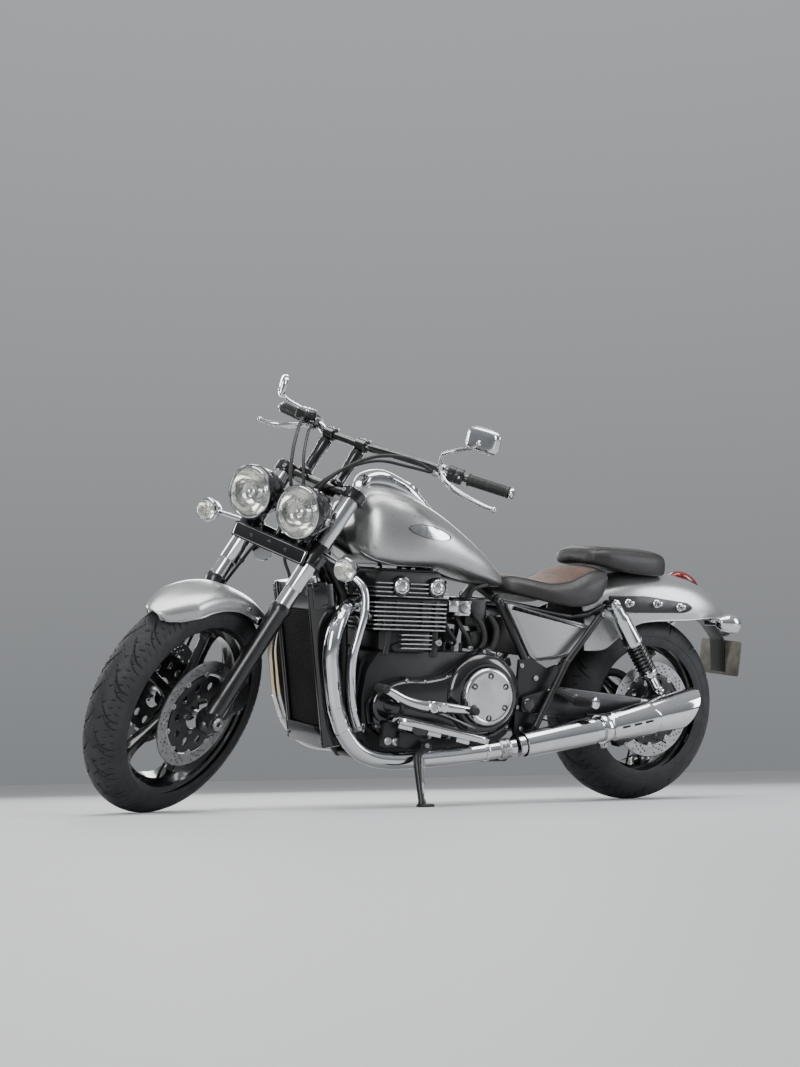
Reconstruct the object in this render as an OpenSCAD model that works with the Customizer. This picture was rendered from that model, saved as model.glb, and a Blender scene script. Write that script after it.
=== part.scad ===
// Cruiser motorcycle, air-finned parallel twin, leaning on its side stand with the bars on the left stop.
// Modules are drawn with the machine upright: X forward, Y left, Z up, origin under the rear axle.
// parked() then leans the whole machine on its stand, and steered() turns what the bars carry.

/* [Chassis] */
// distance between the wheel centres, bars straight
wheelbase = 1615; // [1560:5:1670]
// steering axis angle back from vertical, degrees
rake = 32; // [30:0.5:34]
// distance the steering axis meets the ground ahead of the front contact
trail = 151; // [140:1:160]
// lean to the left on the side stand, degrees
lean = 9.2; // [8.5:0.1:10]
// bars turned to the left stop, degrees
steer = 34; // [30:1:34]

/* [Wheels] */
// front tyre outer radius
front_r = 325; // [318:1:328]
// front tyre width
front_w = 120; // [110:1:124]
// rear tyre outer radius
rear_r = 311; // [305:1:316]
// rear tyre width
rear_w = 194; // [180:1:196]
// brake disc radius
disc_r = 155; // [145:1:158]
// brake disc thickness
disc_t = 5; // [4:0.5:6]
// front discs' distance from the centre plane
disc_y = 77; // [75:1:79]
// rear disc's distance from the centre plane
rear_disc_y = 112; // [110:1:114]
// spokes in each wheel
spokes = 5; // [5:1:6]

/* [Front end] */
// fork legs' distance from the centre plane
fork_y = 124; // [122:1:128]
// fork slider radius
slider_r = 28; // [25:0.5:29]
// fork upper tube radius
tube_r = 24; // [22:0.5:25.5]
// headlamp centre distance from the centre plane
lamp_y = 90; // [86:1:96]
// headlamp rim radius
lamp_r = 78; // [70:1:80]
// handlebar end to centre plane
bar_y = 440; // [410:5:460]

/* [Body] */
// fuel tank widest half width
tank_w = 178; // [165:1:185]
// cylinder fins in the barrel
fins = 7; // [6:1:8]
// fin thickness
fin_t = 4; // [3:0.5:5]
// exhaust header radius
header_r = 23; // [20:0.5:24]
// silencer end radius
muffler_r = 60; // [52:1:62]
// silencer distance from the centre plane
muffler_y = 232; // [231:1:240]

/* [Hidden] */
fork_off = -trail * cos(rake) + front_r * sin(rake);
axle_lz = trail * sin(rake) + front_r * cos(rake);
axis_x = wheelbase + trail;
nose_down = 0.489;
// offsets that put the origin under the middle of the parked machine
off_x = -758.4;
off_y = -146.9;
off_z = 1.6;
black = [0.07, 0.07, 0.08];
silver = [0.62, 0.62, 0.6];
chrome = [0.82, 0.83, 0.85];
steel = [0.6, 0.6, 0.62];
alloy = [0.72, 0.72, 0.73];
rubber = [0.05, 0.05, 0.05];
leather = [0.09, 0.08, 0.08];
clear = [0.8, 0.84, 0.86];
$fn = 48;

// ---------- placing ----------
function rot_x(p, a) = [p.x, p.y * cos(a) - p.z * sin(a), p.y * sin(a) + p.z * cos(a)];
function rot_y(p, a) = [p.x * cos(a) + p.z * sin(a), p.y, -p.x * sin(a) + p.z * cos(a)];
function park(p) = [off_x, off_y, off_z] + rot_y(rot_x(p, -lean), nose_down);
module parked() {
  translate([off_x, off_y, off_z])
    rotate([0, nose_down, 0])
      rotate([-lean, 0, 0])
        children();
}
// turns the front end to the stop, about the steering axis
module steered() {
  parked()
    translate([axis_x, 0, 0])
      rotate([0, -rake, 0])
        rotate([0, 0, steer])
          rotate([0, rake, 0])
            translate([-axis_x, 0, 0])
              children();
}
// along the steering axis: local Z up the axis, local X forward
module on_axis() {
  translate([axis_x, 0, 0])
    rotate([0, -rake, 0])
      children();
}
module both() {
  children();
  mirror([0, 1, 0])
    children();
}
// flat outline in the side plane, from y0 to y1
module side_plate(pts, y0, y1) {
  translate([0, y1, 0])
    rotate([90, 0, 0])
      linear_extrude(y1 - y0)
        polygon(pts);
}
// round bar between two points
module rod(a, b, r, r2 = -1) {
  v = b - a;
  l = norm(v);
  translate(a)
    rotate([0, acos(v.z / l), atan2(v.y, v.x)])
      cylinder(h = l, r1 = r, r2 = r2 < 0 ? r : r2);
}
// cylinder across the machine
module across(x, z, r, y0, y1) {
  translate([x, y1, z])
    rotate([90, 0, 0])
      cylinder(h = y1 - y0, r = r);
}

// ---------- lofts and sweeps ----------
function unit(v) = v / norm(v);
function spline_at(a, b, c, d, t) = 0.5 * ((2 * b) + (c - a) * t + (2 * a - 5 * b + 4 * c - d) * t * t
  + (3 * b - a - 3 * c + d) * t * t * t);
function smooth(p, k) = concat([for (i = [0 : len(p) - 2]) for (j = [0 : k - 1])
  spline_at(p[max(i - 1, 0)], p[i], p[i + 1], p[min(i + 2, len(p) - 1)], j / k)], [p[len(p) - 1]]);
function rib(c, t, ref, r, n) = let (u = unit(cross(ref, t)), w = cross(t, u))
  [for (j = [0 : n - 1]) c + r * (cos(360 * j / n) * u + sin(360 * j / n) * w)];
// closed skin over rings that share one number of points
module skin(rings) {
  n = len(rings);
  m = len(rings[0]);
  pts = [for (r = rings) each r];
  c0 = [for (k = [0 : 2]) [for (p = rings[0]) p[k]] * [for (p = rings[0]) 1] / m];
  c1 = [for (k = [0 : 2]) [for (p = rings[n - 1]) p[k]] * [for (p = rings[0]) 1] / m];
  sides = [for (i = [0 : n - 2]) for (j = [0 : m - 1]) each [
    [i * m + j, (i + 1) * m + j, (i + 1) * m + (j + 1) % m],
    [i * m + j, (i + 1) * m + (j + 1) % m, i * m + (j + 1) % m]]];
  cap0 = [for (j = [0 : m - 1]) [n * m, j, (j + 1) % m]];
  cap1 = [for (j = [0 : m - 1]) [n * m + 1, (n - 1) * m + (j + 1) % m, (n - 1) * m + j]];
  polyhedron(points = concat(pts, [c0, c1]), faces = concat(sides, cap0, cap1), convexity = 6);
}
// bent round tube through hand-placed points
module tube(p, r, ref = [0, 1, 0], k = 5, n = 12) {
  q = smooth(p, k);
  l = len(q);
  skin([for (i = [0 : l - 1]) rib(q[i], unit(q[min(i + 1, l - 1)] - q[max(i - 1, 0)]), ref, r, n)]);
}
// stations in order from front to rear
function rearward(q) = q[0][0] > q[len(q) - 1][0] ? q : [for (i = [len(q) - 1 : -1 : 0]) q[i]];
// closed body from stations [x, half width, side bottom, top, middle bottom]
function sq(v, e) = sign(v) * pow(abs(v), e);
function body_ring(s, n, et, eb) = let (zm = s[2] + (s[3] - s[2]) * s[5])
  [for (j = [0 : n - 1]) let (a = 360 * j / n, c = cos(a), d = sin(a), y = s[1] * sq(c, d < 0 ? eb : et))
    [s[0], y, d >= 0 ? zm + (s[3] - zm) * sq(d, et)
      : zm + (zm - s[2]) * sq(d, eb) + (s[4] - s[2]) * (1 - pow(abs(y) / s[1], 2)) * pow(-d, 0.5)]];
module body(stations, k = 4, n = 32, et = 0.8, eb = 0.6) {
  q = rearward(smooth(stations, k));
  skin([for (p = q) body_ring(p, n, et, eb)]);
}
// thin arched shell from stations [x, half width, side bottom, top]
function arch(s, t, n, e) = [for (j = [0 : n]) let (a = 180 * j / n)
  [s[0], (s[1] - t) * sq(cos(a), e), s[2] + (s[3] - t - s[2]) * sq(sin(a), e)]];
module shell(stations, t = 4, k = 4, n = 24, e = 0.6) {
  q = rearward(smooth(stations, k));
  skin_open([for (p = q) concat(arch(p, 0, n, e), [for (j = [n : -1 : 0]) arch(p, t, n, e)[j]])]);
}
module skin_open(rings) {
  n = len(rings);
  m = len(rings[0]);
  h = m / 2;
  sides = [for (i = [0 : n - 2]) for (j = [0 : m - 1]) each [
    [i * m + j, (i + 1) * m + j, (i + 1) * m + (j + 1) % m],
    [i * m + j, (i + 1) * m + (j + 1) % m, i * m + (j + 1) % m]]];
  cap0 = [for (j = [0 : h - 2]) each [[j, j + 1, m - 2 - j], [j, m - 2 - j, m - 1 - j]]];
  o = (n - 1) * m;
  cap1 = [for (j = [0 : h - 2]) each [[o + j, o + m - 2 - j, o + j + 1], [o + j, o + m - 1 - j, o + m - 2 - j]]];
  polyhedron(points = [for (r = rings) each r], faces = concat(sides, cap0, cap1), convexity = 6);
}

// ---------- wheels ----------
// tyre section with a round crown, from bead to bead
function tyre_outline(r, w, bead, drop, flange, rim_w) = concat(
  [for (i = [-7 : 7]) let (a = i * 90 / 7.5) [r - drop + drop * cos(a), w / 2 * sin(a)]],
  [[r - drop * 1.15, w * 0.497], [(r - drop + flange) / 2, w * 0.485], [flange + 4, rim_w / 2 + 1],
   [flange + 2, rim_w / 2 - 7], [bead, rim_w / 2 - 7.5], [bead, -rim_w / 2 + 7.5], [flange + 2, -rim_w / 2 + 7],
   [flange + 4, -rim_w / 2 - 1], [(r - drop + flange) / 2, -w * 0.485], [r - drop * 1.15, -w * 0.497]]);
module tyre(r, w, bead, drop, flange, rim_w) {
  rotate([-90, 0, 0])
    rotate_extrude($fn = 120)
      polygon(tyre_outline(r, w, bead, drop, flange, rim_w));
}
// cast wheel: barrel with lips, hub and broad spokes
module cast_wheel(bead, flange, w, hub_w, hub_r, bore, spoke_w) {
  rotate([-90, 0, 0])
    rotate_extrude($fn = 120)
      polygon([[bead - 0.5, -w / 2 + 6], [flange, -w / 2 + 4], [flange + 1, -w / 2], [flange - 4, -w / 2 - 3],
        [bead - 8, -w / 2], [bead - 10, -w / 2 + 12], [bead - 26, -w / 2 + 26], [bead - 26, w / 2 - 26],
        [bead - 10, w / 2 - 12], [bead - 8, w / 2], [flange - 4, w / 2 + 3], [flange + 1, w / 2],
        [flange, w / 2 - 4], [bead - 0.5, w / 2 - 6], [bead - 0.5, w / 2 - 12], [bead - 16, w / 2 - 30],
        [bead - 16, -w / 2 + 30], [bead - 0.5, -w / 2 + 12]]);
  difference() {
    union() {
      rotate([90, 0, 0])
        cylinder(h = hub_w, r = hub_r, center = true);
      rotate([90, 0, 0])
        cylinder(h = hub_w * 0.62, r = hub_r + 16, center = true);
      for (i = [0 : spokes - 1])
        rotate([0, 36 + i * 360 / spokes, 0])
          spoke(hub_r, bead - 20, spoke_w);
    }
    rotate([90, 0, 0])
      cylinder(h = hub_w + 2, r = bore, center = true);
  }
}
// one broad spoke that flares into the hub and the rim
module spoke(r0, r1, w) {
  rotate([90, 0, 0])
    translate([0, 0, -17])
      linear_extrude(34)
        polygon([[r0 - 8, -w * 0.9], [r0 + 22, -w * 0.55], [r0 + 60, -w * 0.42], [r1 - 40, -w * 0.45],
          [r1 - 14, -w * 0.7], [r1, -w * 1.25], [r1, w * 1.25], [r1 - 14, w * 0.7],
          [r1 - 40, w * 0.45], [r0 + 60, w * 0.42], [r0 + 22, w * 0.55], [r0 - 8, w * 0.9]]);
}
// floating disc: drilled ring on a dark carrier, joined by round bobbins
module brake_disc(r, t, hub_r) {
  rotate([90, 0, 0])
    difference() {
      cylinder(h = t, r = r, center = true, $fn = 96);
      cylinder(h = t + 2, r = r - 36, center = true, $fn = 96);
    }
  for (i = [0 : 9])
    rotate([0, i * 36 + 18, 0])
      translate([r - 39, 0, 0])
        rotate([90, 0, 0])
          cylinder(h = t + 1, r = 8, center = true, $fn = 24);
  rotate([90, 0, 0])
    difference() {
      cylinder(h = t - 1, r = r - 42, center = true, $fn = 96);
      cylinder(h = t + 2, r = hub_r, center = true);
      for (i = [0 : 9])
        rotate([0, 0, i * 36])
          translate([(r - 42 + hub_r) / 2 + 6, 0, 0])
            cylinder(h = t + 2, r = 12, center = true, $fn = 24);
    }
}
module at_front() {
  translate([wheelbase, 0, front_r])
    children();
}
module at_rear() {
  translate([0, 0, rear_r])
    children();
}
module front_tyre() {
  color(rubber)
    steered()
      at_front()
        tyre(front_r, front_w, 242, 55, 254, 96);
}
module front_rim() {
  color(black)
    steered()
      at_front()
        cast_wheel(242, 254, 96, 118, 34, 12.6, 30);
}
module front_discs() {
  color(steel)
    steered()
      at_front()
        both()
          translate([0, disc_y, 0])
            brake_disc(disc_r, disc_t, 45);
}
module rear_tyre() {
  color(rubber)
    parked()
      at_rear()
        tyre(rear_r, rear_w, 218, 75, 229, 158);
}
module rear_rim() {
  color(black)
    parked()
      at_rear()
        cast_wheel(218, 229, 158, 190, 44, 13.6, 34);
}
module rear_disc() {
  color(steel)
    parked()
      at_rear()
        translate([0, rear_disc_y, 0])
          brake_disc(disc_r, disc_t, 58);
}
module rear_pulley() {
  color(black)
    parked()
      at_rear()
        translate([0, -118, 0])
          rotate([90, 0, 0])
            difference() {
              union() {
                cylinder(h = 32, r = 108, center = true, $fn = 72);
                translate([0, 0, 16])
                  cylinder(h = 3, r = 113, center = true, $fn = 72);
              }
              cylinder(h = 60, r = 26, center = true);
              for (i = [0 : 4])
                rotate([0, 0, i * 72])
                  translate([68, 0, 0])
                    cylinder(h = 60, r = 24, center = true);
            }
}

// ---------- frame and running gear ----------
module frame() {
  color(black)
    parked()
      difference() {
        union() {
          on_axis()
            translate([0, 0, 948])
              cylinder(h = 148, r = 32);
          rod([1222, 0, 858], [1085, 0, 790], 28);
          translate([1085, 0, 790])
            sphere(r = 29.2);
          rod([1085, 0, 790], [640, 0, 715], 28);
          translate([640, 0, 715])
            sphere(r = 29.2);
          both()
            frame_side();
          across(612, 640, 12, -110, 110);
          across(500, 245, 14, -110, 110);
          across(1104, 225, 12, -60, 60);
          across(1040, 165, 12, -84, 84);
        }
        on_axis()
          translate([0, 0, 930])
            cylinder(h = 190, r = 12.05);
      }
}
module frame_side() {
  // down tubes and cradle under the engine
  knees = [[1226, 18, 846], [1118, 38, 640], [1104, 60, 225], [1040, 84, 165], [560, 98, 165], [500, 110, 245]];
  for (i = [0 : 4])
    rod(knees[i], knees[i + 1], 17);
  for (i = [1 : 4])
    translate(knees[i])
      sphere(r = 17.8);
  // tank rear to pivot plate
  rod([636, 0, 692], [612, 110, 640], 14);
  translate([612, 110, 640])
    sphere(r = 14.8);
  rod([612, 110, 640], [512, 127, 455], 13);
  // seat rail, outside the fender at its rear end
  rail = [[612, 110, 640], [334, 100, 602], [292, 134, 614], [240, 134, 634]];
  for (i = [0 : 2])
    rod(rail[i], rail[i + 1], 10.5);
  for (i = [1 : 3])
    translate(rail[i])
      sphere(r = 11.2);
  across(214, 647, 15, 126, 147);
  rod([240, 134, 634], [214, 134, 647], 9.5);
  // stay down to the pivot, outside the swingarm
  rod([258, 160, 615], [392, 174, 464], 11);
  translate([392, 174, 464])
    sphere(r = 11.8);
  rod([392, 174, 464], [502, 179, 262], 11);
  across(258, 616, 10, 136, 160);
  across(502, 262, 10.4, 134, 179);
  // pivot plate
  difference() {
    side_plate([[546, 466], [500, 470], [440, 440], [404, 452], [396, 430], [470, 330], [484, 240],
      [552, 236], [552, 330]], 128.4, 140);
    across(520, 330, 16.06, 100, 160);
  }
}
module swingarm() {
  color(black)
    parked() {
      both() {
        difference() {
          side_plate([[545, 352], [545, 308], [400, 292], [60, 292], [-34, 292], [-40, 328], [10, 344],
            [373, 383], [470, 372]], 141, 163);
          across(0, rear_r, 13.06, 100, 200);
          across(520, 330, 16.06, 100, 200);
        }
        // shock lug on the arm
        side_plate([[-12, 338], [8, 338], [52, 344], [38, 392], [6, 392]], 141, 147.6);
      }
      // cross tube ahead of the tyre
      across(370, 335, 22, -142, 142);
    }
}
module rear_axle() {
  color(steel)
    parked() {
      across(0, rear_r, 13, -166, 166);
      both()
        across(0, rear_r, 20, 163.4, 171);
      across(520, 330, 16, -166, 166);
      both()
        across(520, 330, 21, 163.4, 170);
    }
}
// twin shock: chrome upper body, black coil, chrome lower end
module rear_shocks() {
  top = [214, 0, 647];
  low = [21, 0, 376];
  d = unit(top - low);
  l = norm(top - low);
  color(chrome)
    parked()
      both()
        translate([0, 166, 0]) {
          across(top.x, top.z, 17, -18.6, 14);
          across(low.x, low.z, 15, -18, 14);
          rod(low + d * 14, low + d * 70, 18);
          rod(low + d * 70, low + d * (l - 14), 17.6);
          rod(low + d * (l - 150), low + d * (l - 40), 27);
          rod(low + d * (l - 40), low + d * (l - 14), 20);
          rod(low + d * 70, low + d * 76, 29);
          for (i = [0 : 8])
            translate(low + d * (84 + i * 12.4))
              rotate([0, atan2(d.x, d.z), 0])
                rotate_extrude($fn = 32)
                  translate([22, 0])
                    circle(r = 5, $fn = 16);
        }
}
module crankcase() {
  color(black)
    parked() {
      side_plate([[1082, 350], [1070, 430], [1030, 486], [700, 486], [612, 440], [561, 380], [561, 240],
        [620, 196], [1040, 196], [1078, 240]], -128, 128);
      // sump
      side_plate([[980, 196.5], [700, 196.5], [720, 188], [960, 188]], -70, 70);
      // gearbox tail with the output pulley
      difference() {
        side_plate([[562, 400], [562, 252], [430, 284], [430, 384]], -96, 96);
        across(520, 330, 16.06, -100, 100);
      }
      across(440, 332, 18, -106, -90);
      across(440, 332, 44, -127, -105);
    }
}
module cylinder_block() {
  pitch = 90 / fins;
  color(black)
    parked() {
      translate([866, -128, 486.3])
        cube([168, 256, 58]);
      translate([842, -138, 544])
        cube([204, 276, 96]);
      for (i = [0 : fins - 1])
        translate([820, -152, 547 + i * pitch])
          cube([246, 304, fin_t]);
      for (i = [0 : 3])
        translate([868, -152, 492 + i * 13])
          cube([104, 304, fin_t]);
      // exhaust ports
      both()
        translate([1040, 80, 606])
          rotate([0, 90, 0])
            cylinder(h = 31, r = 32);
    }
}
module cylinder_head() {
  color(black)
    parked() {
      difference() {
        translate([826, -146, 640.3])
          cube([238, 292, 65]);
        both()
          across(945, 716, 24, 120, 160);
      }
      side_plate([[830, 705], [850, 722], [1036, 722], [1060, 705]], -140, 140);
      both()
        for (x = [981, 860])
          across(x, 676, 26, 140, 160);
      both()
        for (x = [981, 860])
          across(x, 676, 17, 159, 165);
      for (z = [644, 656.7])
        translate([820, -152, z])
          cube([246, 304, fin_t]);
    }
}
module engine_covers() {
  cover = [[1076, 343], [1020, 398], [960, 412], [898, 409], [826, 422], [760, 466], [699, 502], [640, 494],
    [590, 440], [558, 380], [556, 320], [596, 256], [668, 226], [1010, 226], [1062, 262]];
  color(black)
    parked()
      both() {
        side_plate(cover, 128.3, 176);
        across(695, 358, 118, 176, 196);
        difference() {
          across(695, 358, 84, 196, 218);
          across(695, 358, 66, 214, 222);
        }
        across(695, 358, 62, 213.5, 216);
        across(1020, 330, 52, 176, 186);
      }
}
module throttle_bodies() {
  color(alloy)
    parked() {
      both() {
        translate([770, 78, 617])
          rotate([0, 90, 0])
            cylinder(h = 49.6, r = 29);
        translate([720, 78, 617])
          rotate([0, 90, 0])
            cylinder(h = 52, r = 33);
        translate([778, 96, 602])
          cube([34, 46, 32]);
        across(752, 617, 15, 100, 142);
      }
      // air box behind the bodies
      translate([642, -96, 560])
        cube([83, 192, 88]);
    }
}
module radiator() {
  color(black)
    parked()
      translate([1152, 0, 205])
        rotate([0, 9.4, 0])
          difference() {
            union() {
              translate([-18, -122, 0])
                cube([60, 244, 478]);
              translate([-18, -130, 330])
                cube([52, 260, 146]);
            }
            translate([34, -102, 60])
              cube([30, 204, 350]);
          }
}
module header_pipes() {
  color(chrome)
    parked()
      both()
        tube([[1073.2, 80, 606], [1086, 81, 606], [1112, 93, 607], [1146, 124, 606], [1186, 164, 574], [1212, 184, 530],
          [1221, 190, 470], [1212, 190, 400], [1197, 191, 326], [1172, 192, 262], [1130, 194, 212],
          [1080, 195, 184], [1020, 196, 174], [940, 199, 174], [820, 204, 183], [700, 212, 196],
          [604, 222, 210]], header_r, k = 3, n = 16);
}
module coolant_pipes() {
  color(chrome)
    parked()
      both()
        tube([[1146, 88, 700], [1122, 112, 692], [1100, 138, 660], [1098, 148, 600], [1116, 152, 530],
          [1130, 152, 470], [1132, 152, 400], [1120, 150, 320], [1096, 146, 256]], 14, k = 4, n = 12);
}
// tapering silencer with its heat shield, open at a slash-cut end
module mufflers() {
  a = [598, muffler_y - 8, 212];
  b = [298, muffler_y, 261];
  c = [-28, muffler_y, 324];
  color(chrome)
    parked()
      both() {
        rod(a, b, 33, 39);
        rod(b + (b - a) * 0.0, b + (c - b) * 0.07, 44);
        difference() {
          rod(b, c, 41, muffler_r);
          rod(b + (c - b) * 0.80, b + (c - b) * 1.1, muffler_r - 10);
          translate(c)
            rotate([0, -24, 0])
              translate([-80, 0, 0])
                cube([130, 200, 300], center = true);
        }
      }
}

// ---------- bodywork ----------
module fuel_tank() {
  color(silver)
    parked()
      difference() {
        body([[588, 70, 692, 716, 692, 0.5], [600, 96, 684, 735, 686, 0.45], [660, 124, 692, 792, 694, 0.42],
          [740, 146, 706, 850, 708, 0.4], [830, 166, 722, 906, 732, 0.38], [920, tank_w, 716, 949, 742, 0.38],
          [990, tank_w * 0.99, 711, 971, 744, 0.38], [1045, tank_w * 0.91, 717, 974, 750, 0.4],
          [1084, tank_w * 0.76, 736, 956, 768, 0.42], [1106, tank_w * 0.52, 766, 926, 790, 0.46]]);
        // tunnel over the backbone
        side_plate([[560, 600], [560, 752], [660, 752], [1082, 824], [1200, 884], [1240, 800], [1200, 600]],
          -36, 36);
        across(612, 640, 60, -60, 60);
      }
}
module instrument_console() {
  color(black)
    parked()
      body([[784, 12, 866, 888, 866, 0.5], [830, 34, 894, 926, 894, 0.5], [900, 52, 930, 982, 930, 0.5],
        [965, 60, 952, 1013, 952, 0.5], [1010, 60, 960, 1022, 960, 0.5], [1048, 50, 962, 1010, 962, 0.5],
        [1066, 34, 960, 988, 960, 0.5]], k = 3, n = 24);
}
module side_covers() {
  color(silver)
    parked()
      both()
        side_plate([[588, 630], [556, 624], [430, 600], [296, 572], [300, 540], [330, 497], [400, 478],
          [490, 470], [520, 512], [552, 570]], 128, 146);
}
module rider_seat() {
  color(leather)
    parked()
      body([[574, 84, 664, 706, 668, 0.4], [556, 108, 654, 728, 668, 0.4], [500, 140, 640, 726, 664, 0.4],
        [430, 162, 622, 718, 664, 0.4], [360, 168, 608, 734, 672, 0.4], [300, 166, 606, 764, 704, 0.4],
        [250, 156, 636, 770, 719, 0.4], [218, 140, 700, 766, 726, 0.4]], k = 3, n = 32, et = 0.7);
}
module passenger_seat() {
  color(leather)
    parked()
      body([[270, 76, 779, 806, 782, 0.5], [254, 104, 776, 825, 779, 0.5], [220, 118, 774, 833, 777, 0.5],
        [192, 124, 746, 835, 774, 0.5], [120, 126, 726, 835, 771, 0.5], [20, 122, 718, 833, 772, 0.5],
        [-38, 104, 724, 826, 772, 0.5], [-54, 72, 746, 806, 780, 0.5]], k = 3, n = 32, et = 0.6);
}
module rear_fender() {
  color(silver)
    parked()
      shell([[286, 118, 500, 690], [208, 122, 506, 718], [140, 125, 556, 738], [70, 126, 592, 752],
        [-30, 126, 602, 760], [-117, 125, 606, 754], [-190, 121, 612, 738], [-250, 112, 616, 710],
        [-305, 98, 612, 668], [-342, 84, 606, 630]], t = 4, k = 4, n = 24, e = 0.7);
}
module fender_struts() {
  color(black)
    parked()
      both() {
        difference() {
          side_plate([[215, 676], [60, 678], [-122, 660], [-134, 646], [-111, 632], [110, 626], [190, 632]],
            129, 136);
          across(214, 647, 15.3, 100, 160);
        }
        for (p = [[133, 654], [17, 656], [-81, 648]]) {
          across(p[0], p[1], 11, 136, 146);
          across(p[0], p[1], 8, 146, 158);
        }
      }
}
module tail_light() {
  color([0.6, 0.03, 0.03])
    parked()
      body([[-150, 14, 747, 756, 747, 0.3], [-170, 26, 740, 766, 748, 0.3], [-205, 32, 728, 764, 742, 0.3],
        [-240, 28, 712, 746, 724, 0.3], [-264, 14, 700, 722, 708, 0.3]], k = 3, n = 16, et = 0.9, eb = 0.9);
}
module plate_holder() {
  color(black)
    parked() {
      side_plate([[-258, 640], [-330, 598], [-372, 540], [-380, 430], [-376, 430], [-364, 540], [-318, 590],
        [-250, 628]], -34, 34);
      translate([-384, -100, 422])
        rotate([0, -4, 0])
          cube([3, 200, 112]);
    }
}
module rear_indicators() {
  color(chrome)
    parked()
      both() {
        rod([-232, 100, 600], [-238, 150, 600], 9);
        rod([-222, 166, 602], [-262, 166, 602], 16, 32);
        rod([-262, 166, 602], [-300, 166, 602], 32, 30);
      }
}
module foot_controls() {
  color(alloy)
    parked()
      both() {
        // floorboard with its bracket
        translate([745, 206, 236])
          rotate([0, -12, 0])
            cube([308, 112, 12]);
        side_plate([[1046, 276], [1046, 212], [990, 212], [978, 262]], 178, 206);
        across(1010, 240, 11, 176.4, 179);
        // heel and toe lever on the left, brake pedal shape on the right
        rod([1089, 262, 388], [1010, 262, 352], 9);
        rod([1010, 262, 352], [921, 262, 334], 10);
        rod([921, 262, 334], [786, 262, 322], 8);
        across(1089, 388, 12, 236, 292);
        across(786, 324, 12, 240, 290);
        across(921, 334, 9, 176.4, 262);
        across(921, 334, 17, 253, 271);
      }
  // lug for the stand's hinge, behind the left bracket
  color(alloy)
    parked()
      side_plate([[1000, 262], [1000, 214], [936, 203], [908, 206], [908, 234], [936, 246]], 206, 219);
}
module passenger_pegs() {
  color(black)
    parked()
      both() {
        rod([426, 174, 376], [358, 190, 345], 10.5);
        rod([360, 182, 344], [343, 268, 346], 16);
        rod([343, 268, 346], [341, 274, 346], 18);
      }
}
// two blocks astride the rear disc, joined over its edge
module caliper(w, gap, h, depth) {
  difference() {
    translate([-depth / 2, -w / 2, -h / 2])
      cube([depth, w, h]);
    translate([-depth / 2 - 1, -gap / 2, -h / 2 - 1])
      cube([depth + 2, gap, h + 2 - 14]);
  }
}
module rear_caliper() {
  color(black)
    parked() {
      translate([0, rear_disc_y, rear_r])
        rotate([0, 118, 0])
          translate([0, 0, 128])
            difference() {
              translate([-50, -19, -34])
                cube([100, 42, 84]);
              translate([-52, -8.3, -36])
                cube([104, 16.6, 71]);
            }
      // bracket to the arm
      translate([0, rear_disc_y, rear_r])
        rotate([0, 118, 0])
          translate([-14, 15.7, 22])
            cube([28, 7, 74]);
    }
}
function belt_side(x1, z1, r1, x2, z2, r2, n) =
  let (d = norm([x2 - x1, z2 - z1]), b = atan2(z2 - z1, x2 - x1), g = acos((r1 - r2) / d))
  concat([for (i = [0 : n]) let (a = b + g + (360 - 2 * g) * i / n) [x1 + r1 * cos(a), z1 + r1 * sin(a)]],
    [for (i = [0 : n]) let (a = b - g + 2 * g * i / n) [x2 + r2 * cos(a), z2 + r2 * sin(a)]]);
module drive_belt() {
  color(rubber)
    parked()
      difference() {
        side_plate(belt_side(0, rear_r, 113, 440, 332, 49, 36), -128, -104);
        side_plate(belt_side(0, rear_r, 108.4, 440, 332, 44.4, 36), -130, -102);
      }
}

// ---------- front end ----------
module bottom_yoke() {
  color(black)
    steered()
      on_axis() {
        difference() {
          union() {
            translate([12, -112, 884])
              cube([48, 224, 44]);
            translate([-6, -50, 884])
              cube([40, 100, 44]);
            both()
              translate([fork_off, fork_y, 868])
                cylinder(h = 72, r = 36);
            translate([0, 0, 884])
              cylinder(h = 62, r = 36);
          }
          both()
            translate([fork_off, fork_y, 860])
              cylinder(h = 90, r = tube_r + 3.05);
        }
        // stem through the head tube
        translate([0, 0, 940])
          cylinder(h = 162, r = 12);
      }
}
module top_yoke() {
  color(black)
    steered()
      on_axis() {
        difference() {
          union() {
            translate([12, -112, 1101])
              cube([50, 224, 22]);
            translate([0, 0, 1101])
              cylinder(h = 22, r = 36);
            translate([-4, -50, 1101])
              cube([40, 100, 22]);
            both()
              translate([fork_off, fork_y, 1098])
                cylinder(h = 34, r = 35);
          }
          both()
            translate([fork_off, fork_y, 1090])
              cylinder(h = 60, r = tube_r + 3.05);
          translate([0, 0, 1090])
            cylinder(h = 60, r = 12.05);
        }
      }
}
module fork_legs() {
  color(black)
    steered()
      on_axis()
        both()
          difference() {
            translate([fork_off, fork_y, 0]) {
              translate([0, 0, axle_lz - 30])
                cylinder(h = 386, r = slider_r);
              translate([0, 0, axle_lz - 38])
                cylinder(h = 9, r = slider_r - 6);
              translate([0, 0, axle_lz + 355])
                cylinder(h = 22, r = slider_r + 2);
              translate([0, 0, axle_lz + 376])
                cylinder(h = 58, r = tube_r);
              translate([0, 0, axle_lz + 430])
                cylinder(h = 6, r = tube_r + 4);
              translate([0, 0, axle_lz + 434])
                cylinder(h = 344, r = tube_r + 3);
              translate([0, 0, axle_lz + 770])
                cylinder(h = 12, r = 20, $fn = 6);
              rotate([90, 0, 0])
                translate([0, axle_lz, -27])
                  cylinder(h = 54, r = 30);
            }
            translate([fork_off, fork_y, axle_lz])
              rotate([90, 0, 0])
                cylinder(h = 80, r = 12.05, center = true);
          }
}
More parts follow.
